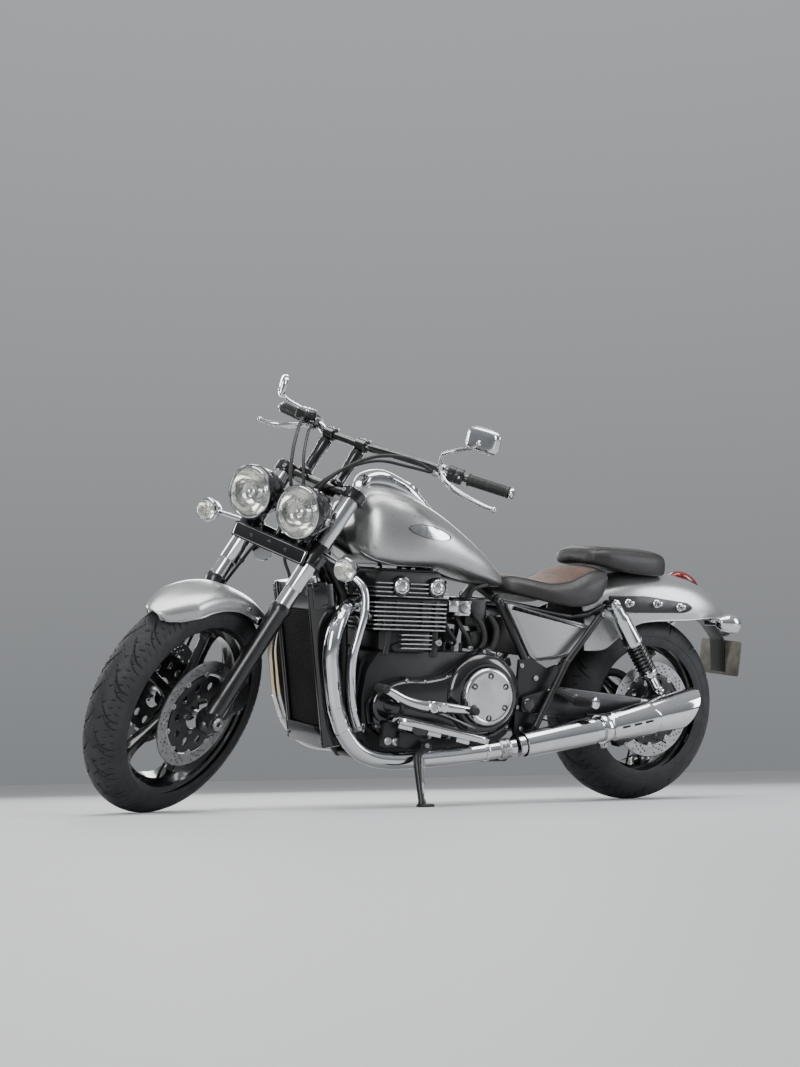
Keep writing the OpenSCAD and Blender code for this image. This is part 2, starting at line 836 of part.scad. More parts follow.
module front_axle() {
  color(steel)
    steered()
      at_front()
        difference() {
          union() {
            rotate([90, 0, 0])
              cylinder(h = 312, r = 12, center = true);
            both()
              across(0, 0, 19, 151.5, 160);
          }
          rotate([90, 0, 0])
            cylinder(h = 330, r = 7, center = true);
        }
}
module front_fender() {
  color(silver)
    steered() {
      at_front()
        rotate([90, 0, 0])
          rotate([0, 0, 55])
            rotate_extrude(angle = 84, $fn = 120)
              polygon(concat([for (j = [0 : 18]) let (a = -90 + 10 * j)
                [304 + 50 * sq(cos(a), 0.7), 79 * sq(sin(a), 0.7)]],
                [for (j = [18 : -1 : 0]) let (a = -90 + 10 * j)
                  [304 + 46.5 * sq(cos(a), 0.7), 75.5 * sq(sin(a), 0.7)]]));
      both()
        rod([1466, 76, 592], [1466, 97, 592], 9);
    }
}
bar_path = [[1137, 0, 1104], [1137, 60, 1104], [1120, 96, 1104], [1060, 150, 1100], [985, 216, 1092],
  [940, 270, 1086], [914, 330, 1083], [880, bar_y, 1083]];
module handlebar() {
  color(black)
    steered() {
      both()
        tube(bar_path, 11.2, ref = [0, 0, 1], k = 4, n = 16);
      both() {
        // tall risers with their clamps
        on_axis() {
          translate([fork_off + 6, 60, 1123.3])
            cylinder(h = 12, r = 22);
          translate([fork_off + 6, 60, 1135])
            cylinder(h = 112, r = 16);
        }
        across(1137, 1104, 19, 42, 78);
      }
    }
}
module grips() {
  color(rubber)
    steered()
      both() {
        difference() {
          rod([918, 316, 1083.1], [881, bar_y - 2, 1083], 17);
          rod([930, 276, 1083.1], [870, bar_y + 34, 1083], 11.6);
        }
        rod([879.5, bar_y + 1, 1083], [876, bar_y + 13, 1083], 16);
      }
}
module hand_controls() {
  color(black)
    steered() {
      both() {
        // switch pod and lever clamp
        difference() {
          rod([952, 250, 1088], [926, 300, 1084], 24);
          rod([985, 190, 1092], [895, 360, 1080], 14);
        }
        translate([982, 262, 1080])
          sphere(r = 15);
        rod([964, 262, 1084], [980, 262, 1081], 9);
        // lever blade
        rod([984, 262, 1079], [1000, 300, 1060], 6);
        translate([1000, 300, 1060])
          sphere(r = 7.4);
        rod([1000, 300, 1060], [985, 380, 1042], 6.4, 5.6);
        translate([985, 380, 1042])
          sphere(r = 6.8);
        rod([985, 380, 1042], [972, 452, 1036], 5.8, 5.2);
        translate([972, 452, 1036])
          sphere(r = 9);
      }
      // brake reservoir on the right
      translate([985, -276, 1096])
        cube([58, 48, 34]);
    }
}
module mirror_head(w, h) {
  rotate([90, 0, 90]) {
    linear_extrude(8)
      polygon([for (i = [0 : 31]) let (a = i * 11.25) [w / 2 * sq(cos(a), 0.45), h / 2 * sq(sin(a), 0.45)]]);
    translate([0, 0, 7])
      linear_extrude(10)
        polygon([for (i = [0 : 31]) let (a = i * 11.25) [w * 0.42 * sq(cos(a), 0.6), h * 0.4 * sq(sin(a), 0.6)]]);
  }
}
module mirrors() {
  color(chrome)
    steered() {
      tube([[978, 246, 1098], [990, 246, 1120], [1010, 262, 1148], [1040, 320, 1176], [1046, 372, 1200]], 5.5,
        ref = [1, 0, 0], k = 4, n = 10);
      translate([1034, 392, 1226])
        rotate([4, 0, -8])
          mirror_head(120, 72);
      tube([[978, -246, 1098], [996, -246, 1112], [1016, -262, 1124], [1012, -330, 1136], [996, -378, 1150]], 5.5,
        ref = [1, 0, 0], k = 4, n = 10);
      translate([977, -383, 1166])
        rotate([4, 0, -50])
          mirror_head(120, 72);
    }
}
module headlights() {
  color(clear)
    steered() {
      both()
        translate([1300, lamp_y, 913])
          rotate([0, 90, 0])
            rotate_extrude($fn = 64)
              polygon([[0, 0], [34, 0], [52, 14], [66, 42], [72, 84], [lamp_r, 88], [lamp_r, 112],
                [lamp_r - 6, 116], [lamp_r - 10, 116], [46, 126], [20, 130], [0, 131]]);
      // lamp bracket from the yokes
      translate([1300, -90, 868])
        cube([22, 180, 18]);
      // stay to the lower yoke
      translate([1316, -20, 836])
        cube([14, 40, 40]);
      both()
        translate([1307, lamp_y - 20, 872])
          cube([26, 40, 30]);
    }
}
module front_indicators() {
  color(chrome)
    steered()
      both() {
        rod([1328, 162, 806], [1336, 236, 802], 7);
        translate([1312, 260, 801])
          rotate([0, 90, 0])
            rotate_extrude($fn = 40)
              polygon([[0, 0], [12, 3], [24, 16], [31, 34], [35, 44], [35, 56], [30, 66], [16, 72], [0, 74]]);
      }
}
module front_plate() {
  color(black)
    steered() {
      translate([1386, -135, 768])
        rotate([0, -14, 0])
          cube([4, 270, 46]);
      both()
        rod([1346, 64, 800], [1387, 64, 790], 6);
    }
}
module front_calipers() {
  color(black)
    steered()
      at_front()
        both()
          translate([0, disc_y + 3, 0])
            rotate([0, -78, 0])
              translate([0, 0, 128])
                difference() {
                  translate([-52, -21, -38])
                    cube([104, 38, 84]);
                  translate([-54, -11.3, -40])
                    cube([108, 16.6, 75]);
                }
}
module control_cables() {
  color(rubber)
    steered() {
      tube([[1000, 250, 1078], [1090, 210, 1110], [1180, 150, 1100], [1250, 90, 1040], [1280, 50, 970],
        [1262, 30, 920]], 5, ref = [1, 0.2, 0], k = 5, n = 8);
      tube([[965, 240, 1074], [1060, 190, 1082], [1150, 130, 1080], [1226, 70, 1030], [1262, 20, 960],
        [1258, 4, 915]], 4.5, ref = [1, 0.2, 0], k = 5, n = 8);
      tube([[1020, -250, 1086], [1100, -200, 1110], [1190, -140, 1090], [1256, -90, 1030], [1286, -50, 960],
        [1268, -30, 915]], 5, ref = [1, 0.2, 0], k = 5, n = 8);
      tube([[965, -240, 1074], [1060, -190, 1082], [1150, -130, 1080], [1226, -70, 1030], [1256, -24, 960],
        [1250, -10, 915]], 4.5, ref = [1, 0.2, 0], k = 5, n = 8);
      both()
        tube([[1344, 34, 803], [1369, 58, 760], [1362, 92, 702], [1392, 118, 610], [1440, 116, 532],
          [1490, 108, 452], [1502, 98, 406]], 4.5, k = 5, n = 8);
    }
}

// ---------- side stand ----------
stand_top = [922, 238, 216];
stand_knee = [952, 244, 190];
stand_foot = [962, 304, 61];
// hinge axis, tilted so that the stowed leg lies beside the header
stand_axis = unit(cross(stand_foot - stand_top, [-0.99, 0.12, 0]));
module side_stand() {
  foot = park(stand_foot);
  color(black) {
    parked() {
      rod(stand_top, stand_knee, 11);
      translate(stand_knee)
        sphere(r = 11.8);
      rod(stand_knee, stand_foot, 10, 8);
      rod(stand_top - stand_axis * 8, stand_top + stand_axis * 8, 16);
    }
    translate([foot.x - 6, foot.y + 8, 0])
      cylinder(h = 9, r = 26);
  }
}

frame();
swingarm();
rear_axle();
rear_shocks();
crankcase();
cylinder_block();
cylinder_head();
engine_covers();
throttle_bodies();
radiator();
header_pipes();
coolant_pipes();
mufflers();
fuel_tank();
instrument_console();
side_covers();
rider_seat();
passenger_seat();
rear_fender();
fender_struts();
tail_light();
plate_holder();
rear_indicators();
foot_controls();
passenger_pegs();
rear_caliper();
drive_belt();
bottom_yoke();
top_yoke();
fork_legs();
front_axle();
front_fender();
handlebar();
grips();
hand_controls();
mirrors();
headlights();
front_indicators();
front_plate();
front_calipers();
control_cables();
front_tyre();
front_rim();
front_discs();
rear_tyre();
rear_rim();
rear_disc();
rear_pulley();
side_stand();
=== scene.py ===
# %% [markdown]
# # Cruiser motorcycle
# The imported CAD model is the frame: it holds every size and every joint. This script gives the
# machine its looks. Each piece is drawn with the machine upright, in millimetres, and one matrix
# then leans it on its stand, so a shape can be written down with plain side-view numbers.

# %% Load the frame
import bpy, bmesh, math
from math import cos, pi, radians, sin
import numpy as np
from mathutils import Matrix, Vector
from mathutils.bvhtree import BVHTree


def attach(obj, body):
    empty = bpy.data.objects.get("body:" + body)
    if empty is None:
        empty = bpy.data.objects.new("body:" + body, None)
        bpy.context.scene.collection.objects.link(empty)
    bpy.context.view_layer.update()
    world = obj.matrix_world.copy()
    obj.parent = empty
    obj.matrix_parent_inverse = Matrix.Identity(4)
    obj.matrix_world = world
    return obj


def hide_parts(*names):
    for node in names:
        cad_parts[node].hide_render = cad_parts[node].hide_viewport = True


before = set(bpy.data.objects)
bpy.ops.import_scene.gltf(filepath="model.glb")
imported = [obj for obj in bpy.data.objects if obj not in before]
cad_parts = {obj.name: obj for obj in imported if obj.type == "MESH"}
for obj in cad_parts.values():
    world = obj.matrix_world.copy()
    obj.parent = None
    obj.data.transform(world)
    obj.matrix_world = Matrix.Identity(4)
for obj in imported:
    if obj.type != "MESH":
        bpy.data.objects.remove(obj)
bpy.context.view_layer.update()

# %% [markdown]
# The machine leans 9.2 degrees on its stand and its bars are turned 34 degrees to the left.
# These numbers repeat the CAD model's, so the Blender pieces land where the CAD pieces are.

# %% Placing matrices
WHEELBASE, RAKE, TRAIL, LEAN, TURN, NOSE = 1615, 32, 151, 9.2, 34, 0.489
OFFSET = (-758.4, -146.9, 1.6)
FRONT_R, REAR_R = 325, 311
FORK_X = -TRAIL * cos(radians(RAKE)) + FRONT_R * sin(radians(RAKE))
AXLE_Z = TRAIL * sin(radians(RAKE)) + FRONT_R * cos(radians(RAKE))


def move(x, y, z):
    return Matrix.Translation((x, y, z))


def turn(axis, degrees):
    return Matrix.Rotation(radians(degrees), 4, axis)


def aim(start, end):
    """Matrix that lays local Z from start towards end."""
    v = Vector(end) - Vector(start)
    return Matrix.Translation(start) @ v.to_track_quat("Z", "Y").to_matrix().to_4x4()


PARK = Matrix.Scale(0.001, 4) @ move(*OFFSET) @ turn("Y", NOSE) @ turn("X", -LEAN)
STEM = move(WHEELBASE + TRAIL, 0, 0) @ turn("Y", -RAKE)
BARS = PARK @ STEM @ turn("Z", TURN) @ turn("Y", RAKE) @ move(-WHEELBASE - TRAIL, 0, 0)
FRONT_HUB, REAR_HUB = move(WHEELBASE, 0, FRONT_R), move(0, 0, REAR_R)
PLACE = {"chassis": PARK, "steering": BARS, "front_wheel": BARS @ FRONT_HUB,
         "rear_wheel": PARK @ REAR_HUB, "side_stand": PARK}
ACROSS = turn("X", -90)
print("front hub at", [round(v, 3) for v in PLACE["front_wheel"].translation])

# %% [markdown]
# ## Camera, floor and light
# The camera stands almost on the floor, 30 degrees ahead of square to the left side. Soft boxes
# overhead and at the sides give long highlights, because chrome and paint are only seen by what
# they reflect.

# %% Camera
# angles in radians, distance and height in metres, lens in millimetres
CAM_AZ, CAM_PITCH, CAM_ROLL = 0.5211, 0.16368, -0.01765
CAM_D, CAM_H = 4.5566, 0.0923
CAM_LENS, CAM_SHIFT = 49.17188, -0.0117151
ahead = Vector((-sin(CAM_AZ), -cos(CAM_AZ), 0))
side = ahead.cross(Vector((0, 0, 1)))
look = ahead * cos(CAM_PITCH) + Vector((0, 0, 1)) * sin(CAM_PITCH)
over = Vector((0, 0, 1)) * cos(CAM_PITCH) - ahead * sin(CAM_PITCH)
right = side * cos(CAM_ROLL) + over * sin(CAM_ROLL)
above = over * cos(CAM_ROLL) - side * sin(CAM_ROLL)
cam = bpy.data.objects.new("camera", bpy.data.cameras.new("camera"))
bpy.context.scene.collection.objects.link(cam)
cam.matrix_world = Matrix((
    (right.x, above.x, -look.x, 0.8 + CAM_D * sin(CAM_AZ) + OFFSET[0] / 1000),
    (right.y, above.y, -look.y, CAM_D * cos(CAM_AZ) + OFFSET[1] / 1000),
    (right.z, above.z, -look.z, CAM_H), (0, 0, 0, 1)))
cam.data.sensor_width = 36
cam.data.lens = CAM_LENS
cam.data.shift_x = CAM_SHIFT
cam.data.clip_start, cam.data.clip_end = 0.05, 200
bpy.context.scene.camera = cam
print("lens", round(cam.data.lens, 1), "mm")


# %% Colour and node helpers
def colour(hexa, alpha=1.0):
    """sRGB hex to the linear colour a shader wants."""
    c = [int(hexa[i:i + 2], 16) / 255 for i in (1, 3, 5)]
    return [v / 12.92 if v <= 0.04045 else ((v + 0.055) / 1.055) ** 2.4 for v in c] + [alpha]


def add(tree, kind, settings=None, inputs=None, links=None):
    """Adds one node. links maps an input to another node's (node, output)."""
    n = tree.nodes.new(kind)
    for k, v in (settings or {}).items():
        setattr(n, k, v)
    for k, v in (inputs or {}).items():
        n.inputs[k].default_value = v
    for k, (source, out) in (links or {}).items():
        tree.links.new(source.outputs[out], n.inputs[k])
    return n


def new_material(name, **surface):
    """A material with one Principled shader, its constants set on the shader's own sockets."""
    m = bpy.data.materials.new(name)
    m.use_nodes = True
    shader = m.node_tree.nodes["Principled BSDF"]
    for k, v in surface.items():
        shader.inputs[k.replace("_", " ")].default_value = v
    return m, m.node_tree, shader


# %% Floor, world and soft boxes
world = bpy.data.worlds.new("studio")
bpy.context.scene.world = world
world.use_nodes = True
wt = world.node_tree
sky = add(wt, "ShaderNodeTexCoord")
rise = add(wt, "ShaderNodeSeparateXYZ", links={0: (sky, "Generated")})
fade = add(wt, "ShaderNodeMapRange", inputs={1: -0.1, 2: 0.9, 3: 0.0, 4: 1.0}, links={0: (rise, "Z")})
tint = add(wt, "ShaderNodeMix", {"data_type": "RGBA"},
           {"A": colour("#8d9195"), "B": colour("#e8eaec")}, {"Factor": (fade, 0)})
wt.links.new(tint.outputs["Result"], wt.nodes["Background"].inputs["Color"])
wt.nodes["Background"].inputs["Strength"].default_value = 0.72

floor_mat, ft, fs = new_material("studio_floor", Roughness=0.6)
fs.inputs["Base Color"].default_value = colour("#b9babb")
grain = add(ft, "ShaderNodeTexNoise", inputs={"Scale": 60, "Detail": 6},
            links={"Vector": (add(ft, "ShaderNodeTexCoord"), "Object")})
ft.links.new(add(ft, "ShaderNodeBump", inputs={"Strength": 0.04, "Distance": 0.002},
                 links={"Height": (grain, 0)}).outputs[0], fs.inputs["Normal"])
bpy.ops.mesh.primitive_plane_add(size=60, location=(0, 0, 0))
floor = bpy.context.object
floor.name = "studio_floor"
floor.data.materials.append(floor_mat)


def soft_box(name, place, target, size, power, tone="#ffffff"):
    """One rectangular studio light that faces a point."""
    lamp = bpy.data.lights.new(name, "AREA")
    lamp.shape, lamp.size, lamp.size_y, lamp.energy = "RECTANGLE", size[0], size[1], power
    lamp.color = colour(tone)[:3]
    o = bpy.data.objects.new(name, lamp)
    bpy.context.scene.collection.objects.link(o)
    o.location = place
    o.rotation_mode = "QUATERNION"
    o.rotation_quaternion = (Vector(target) - Vector(place)).to_track_quat("-Z", "Y")


soft_box("overhead_box", (0.2, 0.6, 3.6), (0, 0, 0.6), (4.2, 2.2), 175)
soft_box("left_front_strip", (3.6, 3.0, 1.9), (0.3, 0, 0.6), (1.5, 2.8), 120)
soft_box("left_rear_strip", (-3.2, 2.6, 1.7), (-0.2, 0, 0.6), (1.2, 2.4), 85, "#f4f8ff")
soft_box("right_rear_box", (-1.5, -3.6, 2.2), (0, 0, 0.7), (2.6, 1.6), 90)
soft_box("right_front_box", (2.6, -3.0, 2.0), (0.3, 0, 0.7), (1.6, 1.6), 60)

# %% [markdown]
# ## Mesh helpers
# Every hard piece comes from four shapes: a turned profile, a bent tube, a slab with softened
# edges, and a loft through cross-sections. Each returns points and faces, and a Shape gathers
# them into one mesh with several finishes.

# %% Turned profile and bent tube
def turned(profile, n=48, sweep=360, closed=False):
    """Points (radius, height) spun about local Z."""
    full = sweep >= 360
    count = n if full else n + 1
    pts, faces, k = [], [], len(profile)
    for i in range(count):
        a = radians(sweep * i / n)
        pts += [(r * cos(a), r * sin(a), h) for r, h in profile]
    last = k if closed else k - 1
    for i in range(n):
        j = (i + 1) % count
        for p in range(last):
            q = (p + 1) % k
            faces.append((i * k + p, j * k + p, j * k + q, i * k + q))
    if closed and not full:
        faces += [tuple(range(k))[::-1], tuple(n * k + p for p in range(k))]
    return pts, faces


def curve_points(points, k=8):
    """Smooth path through given points (Catmull-Rom)."""
    p = [np.array(q, float) for q in points]
    out = []
    for i in range(len(p) - 1):
        a, b, c, d = p[max(i - 1, 0)], p[i], p[i + 1], p[min(i + 2, len(p) - 1)]
        for j in range(k):
            t = j / k
            out.append(0.5 * (2 * b + (c - a) * t + (2 * a - 5 * b + 4 * c - d) * t * t
                              + (3 * b - a - 3 * c + d) * t ** 3))
    return out + [p[-1]]


def tube(points, r, n=16, k=8, caps=True, flat=1.0):
    """Round tube along a smooth path. r is one radius or one for each given point."""
    path = curve_points(points, k)
    m = len(path)
    radii = np.interp(np.linspace(0, 1, m), np.linspace(0, 1, len(points)),
                      r if hasattr(r, "__len__") else [r] * len(points))
    pts, u = [], None
    for i, c in enumerate(path):
        t = path[min(i + 1, m - 1)] - path[max(i - 1, 0)]
        t = t / np.linalg.norm(t)
        if u is None:
            u = np.cross([0, 1, 0] if abs(t[1]) < 0.9 else [1, 0, 0], t)
        u = u - t * np.dot(u, t)
        u = u / np.linalg.norm(u)
        w = np.cross(t, u)
        pts += [tuple(c + radii[i] * (cos(a) * u + flat * sin(a) * w))
                for a in np.linspace(0, 2 * pi, n, endpoint=False)]
    faces = [(i * n + j, i * n + (j + 1) % n, (i + 1) * n + (j + 1) % n, (i + 1) * n + j)
             for i in range(m - 1) for j in range(n)]
    if caps:
        faces += [tuple(range(n))[::-1], tuple((m - 1) * n + j for j in range(n))]
    return pts, faces


def ball(r, n=24):
    return turned([(r * sin(a), -r * cos(a)) for a in np.linspace(0.02, pi - 0.02, n // 2)], n)


# %% Slab and loft
def rounded(outline, radius, steps=5):
    """Outline with each corner turned into a small arc."""
    out, n = [], len(outline)
    for i in range(n):
        a, b, c = (np.array(outline[(i + d) % n][:2], float) for d in (-1, 0, 1))
        u, v = a - b, c - b
        lu, lv = np.linalg.norm(u), np.linalg.norm(v)
        cut = min(radius, lu * 0.45, lv * 0.45)
        p, q = b + u / lu * cut, b + v / lv * cut
        for t in np.linspace(0, 1, steps):
            out.append(tuple((1 - t) ** 2 * p + 2 * t * (1 - t) * b + t * t * q))
    return out


def inset(outline, d):
    """Outline moved inwards by d along its corner normals."""
    p = np.array(outline, float)
    area = np.sum(p[:, 0] * np.roll(p[:, 1], -1) - np.roll(p[:, 0], -1) * p[:, 1])
    a, b = p - np.roll(p, 1, 0), np.roll(p, -1, 0) - p
    na = np.stack([-a[:, 1], a[:, 0]], 1) / (np.linalg.norm(a, axis=1)[:, None] + 1e-9)
    nb = np.stack([-b[:, 1], b[:, 0]], 1) / (np.linalg.norm(b, axis=1)[:, None] + 1e-9)
    m = na + nb
    m = m / np.maximum((m * m).sum(1)[:, None] / 2, 0.3)
    return p + m * d * (1 if area > 0 else -1)


def slab(outline, thick, edge=1.5, dome=0.0, steps=3):
    """Flat outline pulled up to a thickness, with softened edges and an optional dome on top."""
    p = np.array(outline, float)
    if np.sum(p[:, 0] * np.roll(p[:, 1], -1) - np.roll(p[:, 0], -1) * p[:, 1]) < 0:
        p = p[::-1]
    bottom = [(edge * (1 - sin(radians(t))), edge * (1 - cos(radians(t))))
              for t in np.linspace(0, 90, steps)]
    top = [(d, thick - h) for d, h in bottom[::-1]]
    if dome:
        top += [(edge + dome * 1.2 * f, thick + dome * (1 - (1 - f) ** 2)) for f in (0.35, 0.7, 1.0)]
    pts, n = [], len(p)
    for d, h in bottom + top:
        q = inset(p, d)
        pts += [(x, y, h) for x, y in q]
    m = len(bottom + top)
    faces = [(i * n + j, i * n + (j + 1) % n, (i + 1) * n + (j + 1) % n, (i + 1) * n + j)
             for i in range(m - 1) for j in range(n)]
    faces += [tuple(range(n))[::-1], tuple((m - 1) * n + j for j in range(n))]
    return pts, faces


def box(x, y, z, edge=2.0, corner=3.0):
    """Block centred on the origin."""
    o = rounded([(-x / 2, -y / 2), (x / 2, -y / 2), (x / 2, y / 2), (-x / 2, y / 2)], corner, 4)
    pts, faces = slab(o, z, edge)
    return [(a, b, c - z / 2) for a, b, c in pts], faces


def loft(rings, caps=True):
    n, m = len(rings[0]), len(rings)
    pts = [tuple(p) for r in rings for p in r]
    faces = [(i * n + j, i * n + (j + 1) % n, (i + 1) * n + (j + 1) % n, (i + 1) * n + j)
             for i in range(m - 1) for j in range(n)]
    if caps:
        faces += [tuple(range(n))[::-1], tuple((m - 1) * n + j for j in range(n))]
    return pts, faces


# %% Shape: gathers geometry into one piece
SIDE = Matrix(((1, 0, 0, 0), (0, 0, 1, 0), (0, 1, 0, 0), (0, 0, 0, 1)))
MIRROR = Matrix.Scale(-1, 4, (0, 1, 0))


class Shape:
    """Points and faces in upright millimetres, with a finish number for each face."""

    def __init__(self):
        self.pts, self.faces, self.mats = [], [], []

    def add(self, geometry, at=None, finish=0, both=False):
        at = at or Matrix.Identity(4)
        for m in ([at, MIRROR @ at] if both else [at]):
            base = len(self.pts)
            flip = m.to_3x3().determinant() < 0
            self.pts += [tuple(m @ Vector(p)) for p in geometry[0]]
            self.faces += [tuple(base + i for i in (f[::-1] if flip else f)) for f in geometry[1]]
            self.mats += [finish] * len(geometry[1])
        return self

    def rod(self, a, b, r, r2=None, finish=0, both=False, n=24, edge=0.8):
        l = (Vector(b) - Vector(a)).length
        r2 = r if r2 is None else r2
        e = min(edge, r * 0.4, r2 * 0.4)
        return self.add(turned([(0.01, 0), (r - e, 0), (r, e), (r2, l - e), (r2 - e, l), (0.01, l)], n),
                        aim(a, b), finish, both)

    def plate(self, outline, y0, y1, edge=1.5, corner=4, finish=0, both=False, dome=0.0):
        """Side-view outline (x, z) standing from y0 to y1."""
        return self.add(slab(rounded(outline, corner), y1 - y0, edge, dome), move(0, y0, 0) @ SIDE, finish,
                        both)

    def make(self, name, body, finishes, replaces=(), crease=35, slot=None):
        mesh = bpy.data.meshes.new(name)
        mesh.from_pydata([tuple(PLACE[body] @ Vector(p)) for p in self.pts], [], self.faces)
        return piece(name, mesh, body, finishes, self.mats, replaces, crease)


def piece(name, mesh, body, finishes, mats=None, replaces=(), crease=35, weld=True):
    """Turns a mesh in the row frame into a piece that rides on a body."""
    for f in finishes:
        mesh.materials.append(f)
    if mats is not None:
        mesh.polygons.foreach_set("material_index", mats)
    if weld:
        bm = bmesh.new()
        bm.from_mesh(mesh)
        bmesh.ops.remove_doubles(bm, verts=bm.verts, dist=0.00002)
        bmesh.ops.recalc_face_normals(bm, faces=bm.faces)
        bm.to_mesh(mesh)
        bm.free()
    mesh.polygons.foreach_set("use_smooth", [True] * len(mesh.polygons))
    mesh.set_sharp_from_angle(angle=radians(crease))
    o = bpy.data.objects.new(name, mesh)
    bpy.context.scene.collection.objects.link(o)
    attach(o, body)
    if replaces:
        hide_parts(*replaces)
    return o


print("mesh helpers ready")

# %% [markdown]
# ## Repeats with Geometry Nodes
# Fins, bolts, drilled holes and coils are one shape made many times. Two small node trees do it:
# one repeats along a line, the other around an axis. Both have named inputs, so the count can be
# changed later, and both end by turning the copies into real mesh.

# %% Node trees for rows and rings
def repeat_tree(name, ring):
    t = bpy.data.node_groups.new(name, "GeometryNodeTree")
    t.interface.new_socket("Geometry", in_out="INPUT", socket_type="NodeSocketGeometry")
    t.interface.new_socket("Count", in_out="INPUT", socket_type="NodeSocketInt")
    t.interface.new_socket("Step", in_out="INPUT", socket_type="NodeSocketVector")
    t.interface.new_socket("Material", in_out="INPUT", socket_type="NodeSocketMaterial")
    t.interface.new_socket("Geometry", in_out="OUTPUT", socket_type="NodeSocketGeometry")
    given = add(t, "NodeGroupInput")
    index = add(t, "GeometryNodeInputIndex")
    steps = add(t, "ShaderNodeVectorMath", {"operation": "SCALE"},
                links={0: (given, "Step"), "Scale": (index, 0)})
    line = add(t, "GeometryNodeMeshLine", links={"Count": (given, "Count")})
    line.inputs["Offset"].default_value = (0, 0, 0)
    if ring:
        put = add(t, "GeometryNodeInstanceOnPoints",
                  links={"Points": (line, 0), "Instance": (given, "Geometry"), "Rotation": (steps, 0)})
    else:
        place = add(t, "GeometryNodeSetPosition", links={"Geometry": (line, 0), "Position": (steps, 0)})
        put = add(t, "GeometryNodeInstanceOnPoints",
                  links={"Points": (place, 0), "Instance": (given, "Geometry")})
    real = add(t, "GeometryNodeRealizeInstances", links={"Geometry": (put, 0)})
    paint = add(t, "GeometryNodeSetMaterial",
                links={"Geometry": (real, 0), "Material": (given, "Material")})
    add(t, "NodeGroupOutput", links={0: (paint, 0)})
    return t


ROW, RING = repeat_tree("row_of_copies", False), repeat_tree("ring_of_copies", True)


def repeated(tree, geometry, count, step, finish):
    """Runs a repeat tree on one shape and returns the plain geometry."""
    mesh = bpy.data.meshes.new("seed_shape")
    mesh.from_pydata([tuple(p) for p in geometry[0]], [], geometry[1])
    o = bpy.data.objects.new("seed_shape", mesh)
    bpy.context.scene.collection.objects.link(o)
    mod = o.modifiers.new("repeat", "NODES")
    mod.node_group = tree
    ids = {s.name: s.identifier for s in tree.interface.items_tree if s.in_out == "INPUT"}
    mod[ids["Count"]], mod[ids["Material"]] = count, finish
    mod[ids["Step"]] = step
    done = bpy.data.meshes.new_from_object(o.evaluated_get(bpy.context.evaluated_depsgraph_get()))
    out = [tuple(v.co) for v in done.vertices], [tuple(p.vertices) for p in done.polygons]
    bpy.data.objects.remove(o)
    bpy.data.meshes.remove(done)
    return out


def ring_of(geometry, count, finish, degrees=None):
    """Copies about local Z."""
    return repeated(RING, geometry, count, (0, 0, radians(degrees or 360 / count)), finish)


def row_of(geometry, count, step, finish):
    return repeated(ROW, geometry, count, step, finish)


def moved(geometry, m):
    return [tuple(m @ Vector(p)) for p in geometry[0]], geometry[1]


def bolt(r=6, h=5, socket=True):
    """Cap screw seen from its head, with a hex socket."""
    if not socket:
        return turned([(0.01, 0), (r, 0), (r, h - 1), (r - 1.2, h), (0.01, h + 0.6)], 6)
    return turned([(r, 0), (r, h - 0.8), (r - 0.8, h), (r * 0.55, h), (r * 0.5, h - r * 0.5),
                   (0.01, h - r * 0.5)], 18)


print("repeat trees ready")

# %% [markdown]
# ## Finishes
# Each finish is a real one: metallic lacquer, powder coat, chrome plate, machined alloy, ground
# disc steel, moulded rubber, leather. What tells them apart to the eye is mostly how sharply they
# reflect, so roughness matters more than colour.


# %% Finish builder
def finish(name, base, second=None, mottle_mm=40, rough=0.4, rough_span=0.0, rough_mm=25, metal=0.0,
           bump_mm=0, bump=0.0, depth_mm=0.2, bump_kind="noise", stretch=(1, 1, 1), detail=4, **extra):
    """Principled finish whose colour, roughness and relief vary by procedural noise."""
    m, t, s = new_material(name, Metallic=metal, Roughness=rough, **extra)
    s.inputs["Base Color"].default_value = colour(base)
    where = add(t, "ShaderNodeTexCoord")
    spread = add(t, "ShaderNodeMapping", links={"Vector": (where, "Object")})
    spread.inputs["Scale"].default_value = stretch
    if second:
        n = add(t, "ShaderNodeTexNoise", inputs={"Scale": 1000 / mottle_mm, "Detail": 5.0},
                links={"Vector": (spread, 0)})
        sharpen = add(t, "ShaderNodeMapRange", inputs={1: 0.35, 2: 0.68, 3: 0.0, 4: 1.0}, links={0: (n, 0)})
        mix = add(t, "ShaderNodeMix", {"data_type": "RGBA"}, {"A": colour(base), "B": colour(second)},
                  {"Factor": (sharpen, 0)})
        t.links.new(mix.outputs["Result"], s.inputs["Base Color"])
    if rough_span:
        n = add(t, "ShaderNodeTexNoise", inputs={"Scale": 1000 / rough_mm, "Detail": 5.0},
                links={"Vector": (spread, 0)})
        r = add(t, "ShaderNodeMapRange",
                inputs={1: 0.3, 2: 0.7, 3: rough - rough_span, 4: rough + rough_span}, links={0: (n, 0)})
        t.links.new(r.outputs[0], s.inputs["Roughness"])
    if bump:
        if bump_kind == "noise":
            n = add(t, "ShaderNodeTexNoise", inputs={"Scale": 1000 / bump_mm, "Detail": float(detail)},
                    links={"Vector": (spread, 0)})
        else:
            n = add(t, "ShaderNodeTexVoronoi", inputs={"Scale": 1000 / bump_mm},
                    links={"Vector": (spread, 0)})
        b = add(t, "ShaderNodeBump", inputs={"Strength": bump, "Distance": depth_mm / 1000},
                links={"Height": (n, 0)})
        t.links.new(b.outputs[0], s.inputs["Normal"])
    return m


# %% Paint and plate
# satin metallic silver: soft wide highlights with a faint flake sparkle
SILVER = finish("silver_metallic_lacquer", "#a9aaa9", "#a2a3a3", 3, rough=0.3, rough_span=0.03, rough_mm=6,
                metal=0.82,
                bump_mm=1.2, bump=0.05, depth_mm=0.05, Coat_Weight=0.35, Coat_Roughness=0.16)
